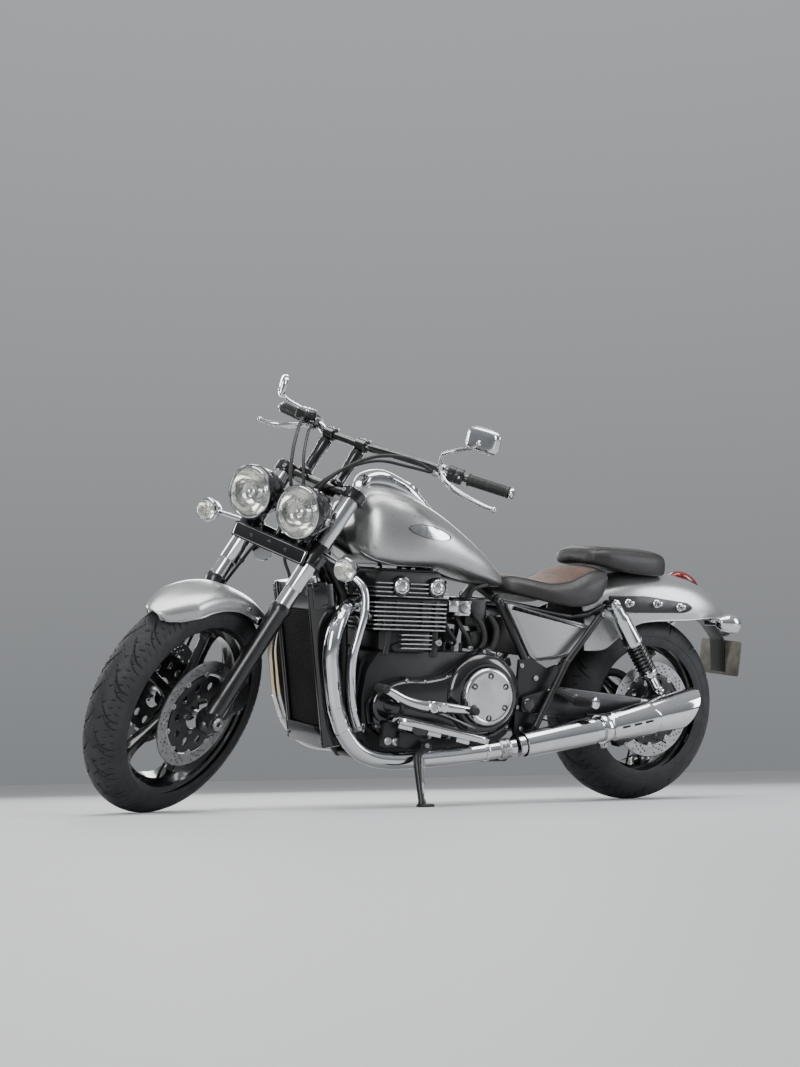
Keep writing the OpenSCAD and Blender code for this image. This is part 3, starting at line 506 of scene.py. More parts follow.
# powder coat on wheels and yokes: deep black with clear reflections
GLOSS = finish("gloss_black_powder_coat", "#0a0a0b", "#101012", 90, rough=0.2, rough_span=0.04, rough_mm=40,
               bump_mm=2.5, bump=0.05, depth_mm=0.05, Coat_Weight=0.6, Coat_Roughness=0.06)
# frame enamel: softer, a little dusty
SATIN = finish("satin_black_enamel", "#101011", "#18181a", 120, rough=0.36, rough_span=0.06, rough_mm=50,
               bump_mm=2, bump=0.06, depth_mm=0.05)
# sand-cast and painted cases: tiny pits break the reflection
CAST = finish("painted_sand_casting", "#121214", "#1b1b1d", 60, rough=0.44, rough_span=0.07, rough_mm=18,
              bump_mm=1.4, bump=0.25, depth_mm=0.12)
SLIDER_LACQUER = finish("black_slider_lacquer", "#0e0e10", "#151517", 70, rough=0.3, rough_span=0.05,
                        rough_mm=30, Coat_Weight=0.3, Coat_Roughness=0.12)
# chrome: nearly a mirror, with faint wiped patches
CHROME = finish("polished_chrome_plate", "#d2d4d6", "#c6c9cc", 120, rough=0.07, rough_span=0.025,
                rough_mm=60, metal=1.0)
# alloy that was turned or milled: fine tool marks
MACHINED = finish("machined_aluminium", "#c3c4c4", "#adafb0", 8, rough=0.3, rough_span=0.07, rough_mm=4,
                  metal=1.0,
                  bump_mm=1.0, bump=0.12, depth_mm=0.05)
POLISHED = finish("polished_aluminium", "#c9cacb", "#babcbe", 50, rough=0.16, rough_span=0.05, rough_mm=20,
                  metal=1.0)
# brake ring: ground steel with fine scratches and random darker patches
DISC = finish("ground_disc_steel", "#a7a8a9", "#8f9091", 14, rough=0.33, rough_span=0.06, rough_mm=3,
              metal=1.0,
              bump_mm=0.9, bump=0.15, depth_mm=0.04)
STEEL = finish("zinc_plated_steel", "#b0b1b2", "#97999b", 12, rough=0.32, rough_span=0.08, rough_mm=8,
               metal=1.0)
# fired enamel in the blank tank badge
BADGE = finish("badge_enamel", "#1d2023", "#26292d", 12, rough=0.22, rough_span=0.05, rough_mm=8,
               Coat_Weight=0.6)
# bronze-gold heat tint that chrome takes near the engine
TINTED = finish("heat_tinted_chrome", "#cfc9bd", "#c2ab7c", 90, rough=0.1, rough_span=0.04, rough_mm=40,
                metal=1.0)

# %% Rubber, plastic, leather and lens
TYRE = finish("moulded_tyre_rubber", "#1b1c1d", "#27272a", 45, rough=0.66, rough_span=0.08, rough_mm=12,
              bump_mm=1.6, bump=0.25, depth_mm=0.12)
# darker colour for the groove floors: painted shade in the recesses of the same rubber
GROOVE_SHADE = finish("tyre_groove_painted_shade", "#0d0d0e", "#141414", 30, rough=0.8, rough_span=0.05, rough_mm=12)
RUBBER = finish("moulded_black_rubber", "#141414", "#1b1b1b", 30, rough=0.58, rough_span=0.08, rough_mm=10,
                bump_mm=1.2, bump=0.2, depth_mm=0.1)
PLASTIC = finish("black_moulded_plastic", "#121213", "#191919", 60, rough=0.42, rough_span=0.05,
                 rough_mm=20,
                 bump_mm=1.0, bump=0.12, depth_mm=0.06)
# near-black: painted shade in gaps, slots and hollows, and also the clock face's own black
DARK = finish("shadowed_recess", "#050505", "#0a0a0a", 20, rough=0.75, rough_span=0.05, rough_mm=10)
MESH = finish("radiator_core_alloy", "#2a2422", "#171515", 5, rough=0.5, rough_span=0.1, rough_mm=4,
              metal=0.6,
              bump_mm=3, bump=0.4, depth_mm=0.5)
LEATHER = finish("black_seat_leather", "#191717", "#232020", 40, rough=0.5, rough_span=0.08, rough_mm=9,
                 bump_mm=1.7, bump=0.35, depth_mm=0.25, bump_kind="voronoi")
SUEDE = finish("brown_suede", "#4c3020", "#382317", 18, rough=0.78, rough_span=0.06, rough_mm=8,
               bump_mm=0.8, bump=0.35, depth_mm=0.15, Sheen_Weight=0.12, Sheen_Roughness=0.5)
THREAD = finish("waxed_thread", "#3a3733", "#2c2a28", 3, rough=0.7, rough_span=0.05, rough_mm=3)
CLEAR = finish("clear_lens_polycarbonate", "#fbfbf8", rough=0.03, rough_span=0.015, rough_mm=30,
               Transmission_Weight=1.0, IOR=1.3)
RED = finish("red_lens_acrylic", "#8e0c0c", "#6d0808", 12, rough=0.12, rough_span=0.04, rough_mm=8,
             Transmission_Weight=0.35, IOR=1.49, Coat_Weight=0.5)
REFLECTOR = finish("vacuum_metallised_reflector", "#f5f5f2", "#ebebe8", 20, rough=0.13, rough_span=0.04,
                   rough_mm=6, metal=0.86)
BULB = finish("frosted_bulb_glass", "#f3f1ea", rough=0.35, rough_span=0.05, rough_mm=5,
              Emission_Strength=0.0)
PLATE = finish("blank_plate_enamel", "#c9c8c0", "#bbbab2", 60, rough=0.4, rough_span=0.06, rough_mm=20)
# bare back of the pressed plate, dulled by road dirt
PLATE_BACK = finish("weathered_plate_alloy", "#76736b", "#625f57", 24, rough=0.55, rough_span=0.08,
                    rough_mm=12, metal=0.5)
print("finishes", len(bpy.data.materials))

# %% [markdown]
# ## Tyres
# A tyre is moulded in one piece. Its tread is cut here as real relief: a fine grid is wrapped
# round the crown and pushed inwards where a groove runs. The grooves sweep from the shoulder
# towards the crown, with short sipes between them, and each carries water outwards.

# %% Tread relief
def tyre_section(r, w, bead, drop, flange, rim_w, n=56):
    """Half-open outline (radius, y) from bead to bead, with a fine crown."""
    crown = [(r - drop + drop * cos(a), w / 2 * sin(a)) for a in np.linspace(-1.466, 1.466, n)]
    side = [(r - drop * 1.15, w * 0.4985), (r - drop * 1.35, w * 0.4995), (r - drop * 1.42, w * 0.489),
            ((r - drop + flange) / 2, w * 0.487), (flange + 16, (w * 0.48 + rim_w / 2) / 2 + 2),
            (flange + 9, rim_w / 2 + 3), (flange + 3, rim_w / 2 + 1), (flange + 1.5, rim_w / 2 - 7),
            (bead + 1, rim_w / 2 - 7.5)]
    return [(p[0], -p[1]) for p in side[::-1]] + crown + side, len(side)


def groove_depth(arc, s, grooves):
    """arc: mm round the crown, s: -1..1 across. Deepest groove at this point, 0..1."""
    deep = 0.0
    for pitch, offset, s0, s1, lean1, bend, width in grooves:
        for sign in (1, -1):
            t = s * sign
            if not s0 - 0.03 < t < s1 + 0.03:
                continue
            u = (t - s0) / (s1 - s0)
            line = offset + (pitch / 2 if sign < 0 else 0) + lean1 * u + bend * u * (1 - u) * 4
            gap = abs((arc - line + pitch / 2) % pitch - pitch / 2)
            taper = width * min(1, 0.35 + 1.3 * min(max(u, 0), max(1 - u, 0)) * 3)
            deep = max(deep, min(1.0, max(0.0, (taper / 2 + 0.9 - gap) / 1.4)) * min(1,
                (t - s0 + 0.03) / 0.03, (s1 + 0.03 - t) / 0.03))
    return deep


def make_tyre(name, body, node, r, w, bead, drop, flange, rim_w, grooves, around, cut=4.5):
    section, edge = tyre_section(r, w, bead, drop, flange, rim_w)
    k = len(section)
    pts, faces, mats = [], [], []
    shade = []
    for i in range(around):
        a = 2 * pi * i / around
        for j, (rad, y) in enumerate(section):
            s = y / (w / 2)
            d = groove_depth(a * r, s, grooves) if edge <= j < k - edge else 0
            rr = rad - cut * d * (1 - 0.25 * abs(s))
            pts.append((rr * sin(a), y, rr * cos(a)))
            shade.append(d)
    for i in range(around):
        for j in range(k - 1):
            q = (i * k + j, i * k + j + 1, (i + 1) % around * k + j + 1, (i + 1) % around * k + j)
            faces.append(q)
            # faces deep in a groove take the darker finish, which is painted shade in the recess
            mats.append(1 if sum(shade[v] for v in q) / 4 > 0.5 else 0)
    inner = [(i * k + k - 1, i * k, (i + 1) % around * k, (i + 1) % around * k + k - 1)
             for i in range(around)]
    shape = Shape()
    shape.add((pts, faces + inner))
    shape.mats = mats + [0] * around
    # fine moulded rings on the wall
    for side in (1, -1):
        for rad, y in ((r - drop * 1.0, w * 0.4975), ((r - drop + flange) / 2 + 6, w * 0.4885)):
            shape.add(turned([(rad - 0.9, 0), (rad, 0.9), (rad + 0.9, 0), (rad, -0.6)], 96, closed=True),
                      move(0, side * y, 0) @ ACROSS)
    return shape.make(name, body, [TYRE, GROOVE_SHADE], (node,), crease=40)


FRONT_GROOVES = [(88, 0, 0.05, 0.93, 66, 16, 6.0), (88, 44, 0.34, 0.95, 44, 10, 4.6),
                 (22, 6, 0.52, 0.70, -6, 0, 2.6),
                 (22, 16, 0.76, 0.92, 6, 0, 2.6), (44, 20, 0.16, 0.34, -10, 0, 2.8)]
REAR_GROOVES = [(124, 0, 0.04, 0.84, 92, 22, 8), (124, 60, 0.34, 0.95, 60, 10, 6),
                (31, 10, 0.58, 0.76, -8, 0, 3), (62, 30, 0.16, 0.34, -14, 0, 3.4)]
TREAD_STEPS = 820
make_tyre("front_tyre_moulding", "front_wheel", "front_tyre", FRONT_R, 120, 242, 55, 254, 96, FRONT_GROOVES,
          TREAD_STEPS)
make_tyre("rear_tyre_moulding", "rear_wheel", "rear_tyre", REAR_R, 194, 218, 75, 229, 158, REAR_GROOVES,
          TREAD_STEPS, 5.5)

# %% [markdown]
# ## Cast wheels
# Each wheel is one alloy casting: a barrel with rolled lips, a stout hub and five broad spokes
# that flare into both. The spokes are lofted from rounded sections, so their edges catch a thin
# line of light as on a real casting.


# %% Spokes, barrel and hub
def spoke_loft(r0, r1, w, depth):
    """Beam from hub to rim with a rounded, slightly hollowed section."""
    rings = []
    stations = [(-10, 1.15, 1.25), (12, 0.72, 1.2), (34, 0.56, 1.1), (64, 0.47, 1.0), (0.62, 0.46, 0.92),
                (0.80, 0.5, 0.95),
                (0.90, 0.66, 1.05), (0.965, 0.95, 1.15), (1.0, 1.35, 1.25)]
    for d, ww, dd in stations:
        x = r0 + d if abs(d) > 1.5 else r0 + (r1 - r0) * d
        hw, hd = w * ww, depth * dd / 2
        ring = []
        for a in np.linspace(0, 2 * pi, 28, endpoint=False):
            c, s = cos(a), sin(a)
            y = hd * math.copysign(abs(s) ** 0.45, s)
            z = hw * math.copysign(abs(c) ** 0.55, c)
            y *= 1 - 0.16 * (1 - min(1, abs(z) / hw * 1.3)) * (1 if 0.1 < (x - r0) / (r1 - r0) < 0.92
                else 0)
            ring.append((x, y, z))
        rings.append(ring)
    dense = []
    for i in range(len(rings) - 1):
        a, b, c, d = (np.array(rings[j]) for j in (max(i - 1, 0), i, i + 1, min(i + 2, len(rings) - 1)))
        for j in range(5):
            t = j / 5
            dense.append(0.5 * (2 * b + (c - a) * t + (2 * a - 5 * b + 4 * c - d) * t * t
                                + (3 * b - a - 3 * c + d) * t ** 3))
    dense.append(np.array(rings[-1]))
    return loft([[tuple(p) for p in r] for r in dense])


def make_wheel(name, body, node, bead, flange, w, hub_w, hub_r, bore, spoke_w, depth):
    shape = Shape()
    h = w / 2
    barrel = [(bead - 0.6, -h + 7), (flange - 0.2, -h + 5), (flange + 0.8, -h + 1), (flange, -h - 2),
              (flange - 3, -h - 3),
              (flange - 7, -h - 1), (bead - 7, -h + 3), (bead - 9, -h + 12), (bead - 19, -h + 20),
              (bead - 25, -h + 27),
              (bead - 26, -h + 36), (bead - 26, h - 36), (bead - 25, h - 27), (bead - 19, h - 20),
              (bead - 9, h - 12),
              (bead - 7, h - 3), (flange - 7, h + 1), (flange - 3, h + 3), (flange, h + 2),
              (flange + 0.8, h - 1),
              (flange - 0.2, h - 5), (bead - 0.6, h - 7), (bead - 1, h - 14), (bead - 15, h - 30),
              (bead - 15, -h + 30), (bead - 1, -h + 14)]
    shape.add(turned(barrel, 144, closed=True), ACROSS)
    spoke = spoke_loft(hub_r, bead - 22, spoke_w, depth)
    shape.add(moved(ring_of(moved(spoke, turn("X", 90)), 5, GLOSS), turn("X", -90)),
              turn("Y", -36 - 90 + 90))
    q = hub_w / 2
    hub = [(bore, -q), (hub_r - 6, -q), (hub_r - 4, -q + 2), (hub_r - 3, -q * 0.72), (hub_r + 8, -q * 0.6),
           (hub_r + 15, -q * 0.5),
           (hub_r + 16, -q * 0.3), (hub_r + 16, q * 0.3), (hub_r + 15, q * 0.5), (hub_r + 8, q * 0.6),
           (hub_r - 3, q * 0.72),
           (hub_r - 4, q - 2), (hub_r - 6, q), (bore, q)]
    shape.add(turned(hub, 64, closed=True), ACROSS)
    # valve stem and its cap, through the barrel
    shape.rod((0, 0, -(bead - 27)), (0, 10, -(bead - 62)), 4, 3.4, finish=1)
    shape.rod((0, 10, -(bead - 62)), (0, 13, -(bead - 74)), 4.6, finish=2)
    # balance weights on the lip
    shape.add(box(6, 5, 32, 1), turn("Y", 151) @ move(flange - 14, h - 4, 0), 2)
    return shape.make(name, body, [GLOSS, RUBBER, STEEL], (node,), crease=32)


make_wheel("front_wheel_casting", "front_wheel", "front_rim", 242, 254, 96, 118, 34, 12.7, 30, 38)
make_wheel("rear_wheel_casting", "rear_wheel", "rear_rim", 218, 229, 158, 190, 44, 13.8, 34, 46)


# %% [markdown]
# ## Brake discs
# Each disc is a floating one: a ground steel ring, drilled in groups so that it cools, hung on a
# dark carrier by ten round bobbins. The holes are really cut, so the spokes show through them.

# %% Drilled rings, carriers and bobbins
def cut_holes(geometry, cutter):
    """Exact boolean of one closed shape with another."""
    obs = []
    for g in (geometry, cutter):
        me = bpy.data.meshes.new("cut")
        me.from_pydata([tuple(p) for p in g[0]], [], g[1])
        bm = bmesh.new()
        bm.from_mesh(me)
        bmesh.ops.remove_doubles(bm, verts=bm.verts, dist=0.001)
        bmesh.ops.recalc_face_normals(bm, faces=bm.faces)
        bm.to_mesh(me)
        bm.free()
        o = bpy.data.objects.new("cut", me)
        bpy.context.scene.collection.objects.link(o)
        obs.append(o)
    mod = obs[0].modifiers.new("holes", "BOOLEAN")
    mod.operation, mod.solver, mod.object = "DIFFERENCE", "EXACT", obs[1]
    done = bpy.data.meshes.new_from_object(obs[0].evaluated_get(bpy.context.evaluated_depsgraph_get()))
    out = [tuple(v.co) for v in done.vertices], [tuple(p.vertices) for p in done.polygons]
    for o in obs:
        bpy.data.objects.remove(o)
    bpy.data.meshes.remove(done)
    return out

# one drilled group: radius in from the rim (mm) and angle (degrees) of each hole
HOLE_GROUP = ((-30, -10), (-23, -5.5), (-16, -1), (-9, 3.5), (-23, 6), (-16, 10.5), (-9, -9.5), (-30, 1.5))



def drilled_ring(r, t):
    e = 0.6
    ring = turned([(r - 36, -t / 2 + e), (r - 36 + e, -t / 2), (r - e, -t / 2), (r, -t / 2 + e),
                   (r, t / 2 - e), (r - e, t / 2),
                   (r - 36 + e, t / 2), (r - 36, t / 2 - e)], 120, closed=True)
    holes = [], []
    for group in range(10):
        for rr, aa in HOLE_GROUP:
            a = radians(group * 36 + aa)
            g = moved(turned([(0.01, -t), (3.1, -t), (3.1, t), (0.01, t)], 12),
                      move((r + rr) * cos(a), (r + rr) * sin(a), 0))
            base = len(holes[0])
            holes[0].extend(g[0])
            holes[1].extend(tuple(base + v for v in f) for f in g[1])
    return cut_holes(ring, holes)


RING_STEEL = drilled_ring(155, 5)
bobbin = turned([(2.5, 3.2), (4, 3.6), (7.2, 3.6), (8, 2.8), (8, -2.8), (7.2, -3.6), (4, -3.6),
                 (2.5, -3.2)], 20)


def add_disc(shape, at, hub_r):
    shape.add(RING_STEEL, at, 0)
    shape.add(moved(ring_of(moved(bobbin, move(116, 0, 0)), 10, DISC), turn("Z", 18)), at, 1)
    ring = turned([(hub_r, -2), (hub_r + 1, -2.4), (109, -2.4), (112.5, -1.8), (112.5, 1.8), (109, 2.4),
                   (hub_r + 1, 2.4), (hub_r, 2)], 100, closed=True)
    windows = ring_of(moved(turned([(0.01, -9), (11.5, -9), (11.5, 9), (0.01, 9)], 20),
                            move((113 + hub_r) / 2 + 4, 0, 0)), 10, GLOSS)
    shape.add(cut_holes(ring, windows), at, 2)
    # carrier bolts on the hub
    shape.add(ring_of(moved(bolt(6, 5), move(hub_r + 9, 0, 2)), 5, STEEL), at, 3)


front = Shape()
for sign in (1, -1):
    add_disc(front, move(0, 77 * sign, 0) @ turn("X", -90 * sign), 45)
front.make("front_brake_discs", "front_wheel", [DISC, MACHINED, SATIN, STEEL], ("front_discs",), crease=30)
rear = Shape()
add_disc(rear, move(0, 112, 0) @ ACROSS, 58)
rear.make("rear_brake_disc", "rear_wheel", [DISC, MACHINED, SATIN, STEEL], ("rear_disc",), crease=30)

# %% [markdown]
# The rear pulley is a toothed ring on the right side. The rubber belt runs over it to a small
# pulley behind the gearbox.

# %% Rear pulley
pulley = Shape()
teeth = ring_of(moved(box(3, 26, 4.4, 0.8, 1), move(106.4, 0, 0) @ turn("X", 90)), 64, SATIN)
pulley.add(turned([(86, -15), (104.6, -15), (104.6, 15), (108, 15.5), (112.5, 16), (113, 18.5), (108, 19),
                   (92, 17), (86, 12)], 96, closed=True), ACROSS)
pulley.add(teeth, ACROSS)
pulley.add(turned([(26.5, -14), (48, -14), (50, -11), (50, 11), (48, 14), (26.5, 14)], 48, closed=True),
           ACROSS)
arm = slab(rounded([(44, -14), (88, -20), (88, 20), (44, 14)], 4), 18, 3)
pulley.add(moved(ring_of(moved(arm, move(0, 0, -9)), 5, SATIN), turn("X", -90)))
pulley.add(moved(ring_of(moved(bolt(7, 7), move(38, 0, 14)), 5, STEEL), turn("X", 90)), None, 1)
pulley.pts = [(x, y - 118, z) for x, y, z in pulley.pts]
pulley.make("rear_belt_pulley", "rear_wheel", [SATIN, STEEL], ("rear_pulley",))

# %% [markdown]
# ## Bodywork
# Tank, fenders and side covers are pressed steel, so they are one smooth skin each. They are
# lofted through the same cross-sections as the CAD, only with many more points.

# %% Section lofts
def power(v, e):
    return math.copysign(abs(v) ** e, v)


def between(rows, k):
    """Catmull-Rom through station rows."""
    return curve_points(rows, k)


def body_rings(stations, k=10, n=96, et=0.8, eb=0.6, shrink=0.0):
    """Closed rings from stations [x, half width, side bottom, top, middle bottom, waist]."""
    rings = []
    for s in between(stations, k):
        x, w, zb, zt, mid, waist = s
        w, zb, zt, mid = w - shrink, zb + shrink, zt - shrink, mid + shrink
        zm = zb + (zt - zb) * waist
        ring = []
        for a in np.linspace(0, 2 * pi, n, endpoint=False):
            c, d = cos(a), sin(a)
            y = w * power(c, eb if d < 0 else et)
            z = zm + (zt - zm) * power(d, et) if d >= 0 else \
                zm + (zm - zb) * power(d, eb) + (mid - zb) * (1 - (y / w) ** 2) * (-d) ** 0.5
            ring.append((x, y, z))
        rings.append(ring)
    return rings


def round_end(rings, steps=4, bulge=10, sign=1):
    """Closes a loft with shrinking rings, so that the nose is domed instead of flat."""
    last = np.array(rings[-1] if sign > 0 else rings[0])
    c = last.mean(0)
    before = np.array(rings[-2] if sign > 0 else rings[1]).mean(0)
    out = (c - before) / np.linalg.norm(c - before)
    extra = []
    for i in range(1, steps + 1):
        a = pi / 2 * i / (steps + 0.35)
        extra.append([tuple(p) for p in c + (last - c) * cos(a) + out * bulge * sin(a)])
    return rings + extra if sign > 0 else extra[::-1] + rings


TANK = [[588, 70, 692, 716, 692, 0.5], [600, 96, 684, 735, 686, 0.45], [660, 124, 692, 792, 694, 0.42],
        [740, 146, 706, 850, 708, 0.4], [830, 166, 722, 906, 732, 0.38], [920, 178, 716, 949, 742, 0.38],
        [990, 176, 711, 971, 744, 0.38], [1045, 162, 717, 974, 750, 0.4], [1084, 135, 736, 956, 768, 0.42],
        [1106, 92, 766, 926, 790, 0.46]]
tank_rings = round_end(round_end(body_rings(TANK), bulge=8), bulge=6, sign=-1)
tank = Shape()
tank.add(loft(tank_rings), None, 0)
# folded seam along the lower edge of the tank
for sign in (1, -1):
    seam = [min(r, key=lambda p: abs(math.atan2(p[2] - (r[0][2] - 26), p[1] * sign) + 0.35))
            for r in tank_rings[8:-10:4]]
    tank.add(tube([(p[0], p[1] * 1.0, p[2]) for p in seam], 2.2, 10, 4), None, 0)


TANK_SKIN = BVHTree.FromPolygons([Vector(p) for p in tank.pts], tank.faces)


def on_flank(x, z, sign, lift):
    """Point on the tank's side at (x, z), lifted off the skin by lift mm."""
    hit = TANK_SKIN.ray_cast(Vector((x, sign * 400, z)), Vector((0, -sign, 0)))
    return tuple(hit[0] + Vector((0, sign, 0)) * lift)


def side_badge(sign):
    """Blank oval badge that follows the flank: a dark enamel rim round a polished field."""
    def oval(r, lift):
        return [on_flank(905 + 76 * r * cos(a) + 3 * r * sin(a), 838 + 20 * r * sin(a) + 10 * r * cos(a),
                         sign, lift)
                for a in np.linspace(0, 2 * pi, 64, endpoint=False)]
    tank.add(loft([oval(r, h) for r,
                   h in ((1.02, -1), (1.01, 2.0), (0.98, 3.2), (0.95, 3.2), (0.93, 2.0), (0.92, 0.6))],
                   False), None, 2)
    tank.add(loft([oval(r, h) for r, h in ((0.94, 1.2), (0.6, 1.6), (0.3, 1.9), (0.02, 2.0))]), None, 1)


side_badge(1)
side_badge(-1)
tank.make("fuel_tank_skin", "chassis", [SILVER, POLISHED, BADGE], ("fuel_tank",), crease=50)

# %% Instrument and filler cap on the tank
dial = Shape()
CONSOLE = [[784, 12, 866, 888, 866, 0.5], [830, 34, 894, 926, 894, 0.5], [900, 52, 930, 982, 930, 0.5],
           [965, 60, 952, 1013, 952, 0.5],
           [1010, 60, 960, 1022, 960, 0.5], [1048, 50, 962, 1010, 962, 0.5], [1066, 34, 960, 988, 960, 0.5]]
dial.add(loft(round_end(round_end(body_rings(CONSOLE, 8, 72), bulge=6), bulge=4, sign=-1)), None, 0)
# the clock sits in the sloping back of the pod, facing the rider
clock = move(906, 0, 968) @ turn("Y", -24)
dial.add(turned([(43, -14), (44, 4), (43, 12), (40, 16), (37.5, 16.4), (36, 14.6), (35.6, 10), (0.01, 10)],
                84), clock, 0)
dial.add(turned([(35.8, 10.2), (30, 10.6), (0.01, 10.6)], 64), clock, 1)
dial.add(turned([(36, 13.4), (24, 15.4), (10, 16.4), (0.01, 16.6)], 64), clock, 3)
dial.add(ring_of(moved(box(6, 1.0, 0.5, 0.1, 0.3), move(29, 0, 10.9)), 36, CHROME), clock, 4)
dial.add(box(24, 1.4, 0.8, 0.2, 0.5), clock @ turn("Z", 215) @ move(11, 0, 11.6), 5)
dial.add(turned([(3.4, 10.6), (3.4, 12.4), (0.01, 12.8)], 20), clock, 2)
for i, tint in enumerate((5, 4, 4)):
    dial.add(ball(3.0, 12), move(862, -12 + 12 * i, 948), tint)
# filler cap on the right of the pod
cap = move(984, -88, 964) @ turn("X", 14)
dial.add(turned([(33, -10), (33, 5), (31, 10), (27, 12), (18, 13.5), (0.01, 14.5)], 64), cap, 0)
dial.add(ring_of(moved(box(3, 3, 9, 0.8, 1), move(32.5, 0, 0)), 24, CHROME), cap, 0)
dial.add(box(20, 7, 4, 1.2, 3), cap @ move(0, 0, 14), 0)
NEEDLE = finish("needle_enamel", "#b23a22", "#a03420", 8, rough=0.4, rough_span=0.05)
MARKS = finish("printed_dial_marks", "#d9d9d2", "#cfcfc8", 5, rough=0.5, rough_span=0.04)
dial.make("tank_instrument", "chassis", [CHROME, DARK, PLASTIC, CLEAR, MARKS, NEEDLE],
          ("instrument_console",), crease=30)


# %% Fenders
def arch(s, t, n, e):
    out = []
    for j in range(n + 1):
        a = pi * j / n
        out.append((s[0], (s[1] - t) * power(cos(a), e), s[2] + (s[3] - t - s[2]) * abs(sin(a)) ** e))
    return out


REAR_FENDER = [[286, 118, 500, 690], [208, 122, 506, 718], [140, 125, 556, 738], [70, 126, 592, 752],
               [-30, 126, 602, 760], [-117, 125, 606, 754], [-190, 121, 612, 738], [-250, 112, 616, 710],
               [-305, 98, 612, 668], [-342, 84, 606, 630]]
rows = between(REAR_FENDER, 12)
fender = Shape()
fender.add(loft([arch(s, 0, 64, 0.7) + arch(s, 3.4, 64, 0.7)[::-1] for s in rows]), None, 0)
for j in (0, 64):
    edge = [arch(s, 1.6, 64, 0.7)[j] for s in rows[::6]] + [arch(rows[-1], 1.6, 64, 0.7)[j]]
    fender.add(tube(edge, 3.4, 12, 4), None, 0)
tip = arch(rows[-1], 1.6, 64, 0.7)
fender.add(tube(tip[::4], 3.2, 12, 3), None, 0)
fender.make("rear_fender_pressing", "chassis", [SILVER], ("rear_fender",), crease=40)

front_fender = Shape()
rings = []
for a in np.linspace(56, 140, 85):
    near = a - 56 if a < 98 else 1.6 * (140 - a)
    tip_f = min(1, near / 17) ** 0.5
    skirt = 50 * (0.45 + 0.55 * tip_f)
    wide = 79 * (0.3 + 0.7 * tip_f)
    lift = 354
    out, inn = [], []
    for b in np.linspace(-90, 90, 41):
        cb, sb = cos(radians(b)), sin(radians(b))
        for t, row in ((0, out), (3.2, inn)):
            rad = lift - skirt + (skirt - t) * abs(cb) ** 0.7
            row.append((rad * cos(radians(a)), (wide - t) * power(sb, 0.7), rad * sin(radians(a))))
    rings.append(out + inn[::-1])
front_fender.add(loft(rings), FRONT_HUB, 0)
for j in (0, 40):
    front_fender.add(tube([r[j] for r in rings[::6]], 2.6, 12, 4), FRONT_HUB, 0)
for end in (0, -1):
    front_fender.add(tube(rings[end][0:41:4], 2.4, 12, 3), FRONT_HUB, 0)
# bright stub and bolts that hold the fender to the legs
front_fender.rod((1466, 74, 592), (1466, 98, 592), 11, finish=1, both=True)
front_fender.add(moved(bolt(6.5, 5), turn("X", -90)), move(1500, 77, 624), 2, both=True)
front_fender.add(moved(bolt(6.5, 5), turn("X", -90)), move(1434, 77, 580), 2, both=True)
front_fender.make("front_fender_pressing", "steering", [SILVER, CHROME, STEEL], ("front_fender",),
                  crease=40)

# %% Side covers
COVER = [[606, 640], [556, 630], [430, 606], [280, 578], [284, 546], [322, 492], [396, 470], [494, 460],
         [524, 506], [562, 572]]
covers = Shape()
covers.plate(COVER, 124, 138, edge=4, corner=26, dome=10, both=True)
covers.add(moved(bolt(6, 4), turn("X", -90)), move(568, 143, 616), 1, both=True)
covers.make("side_cover_pressings", "chassis", [SILVER, STEEL], ("side_covers",), crease=45)

# %% [markdown]
# ## Seats
# A seat is foam under sewn leather. The foam is blown up softly with a cloth simulation while its
# seams stay pinned, so the panels swell between the stitches. Piping and thread go on afterwards.

# %% Cushion by cloth pressure
RIDER = [[574, 84, 664, 706, 668, 0.4], [556, 108, 654, 728, 668, 0.4], [500, 140, 640, 726, 664, 0.4],
         [430, 162, 622, 718, 664, 0.4], [360, 168, 608, 734, 672, 0.4], [300, 166, 606, 764, 704, 0.4],
         [250, 156, 636, 770, 719, 0.4], [218, 140, 700, 766, 726, 0.4]]
PILLION = [[266, 84, 768, 812, 778, 0.5], [256, 106, 760, 827, 777, 0.5], [222, 118, 752, 834, 775, 0.5],
           [192, 124, 746, 835, 774, 0.5], [120, 126, 726, 835, 771, 0.5], [20, 122, 718, 833, 772, 0.5],
           [-38, 104, 724, 826, 772, 0.5], [-54, 72, 746, 806, 780, 0.5]]
TO_BIKE = PARK.inverted()


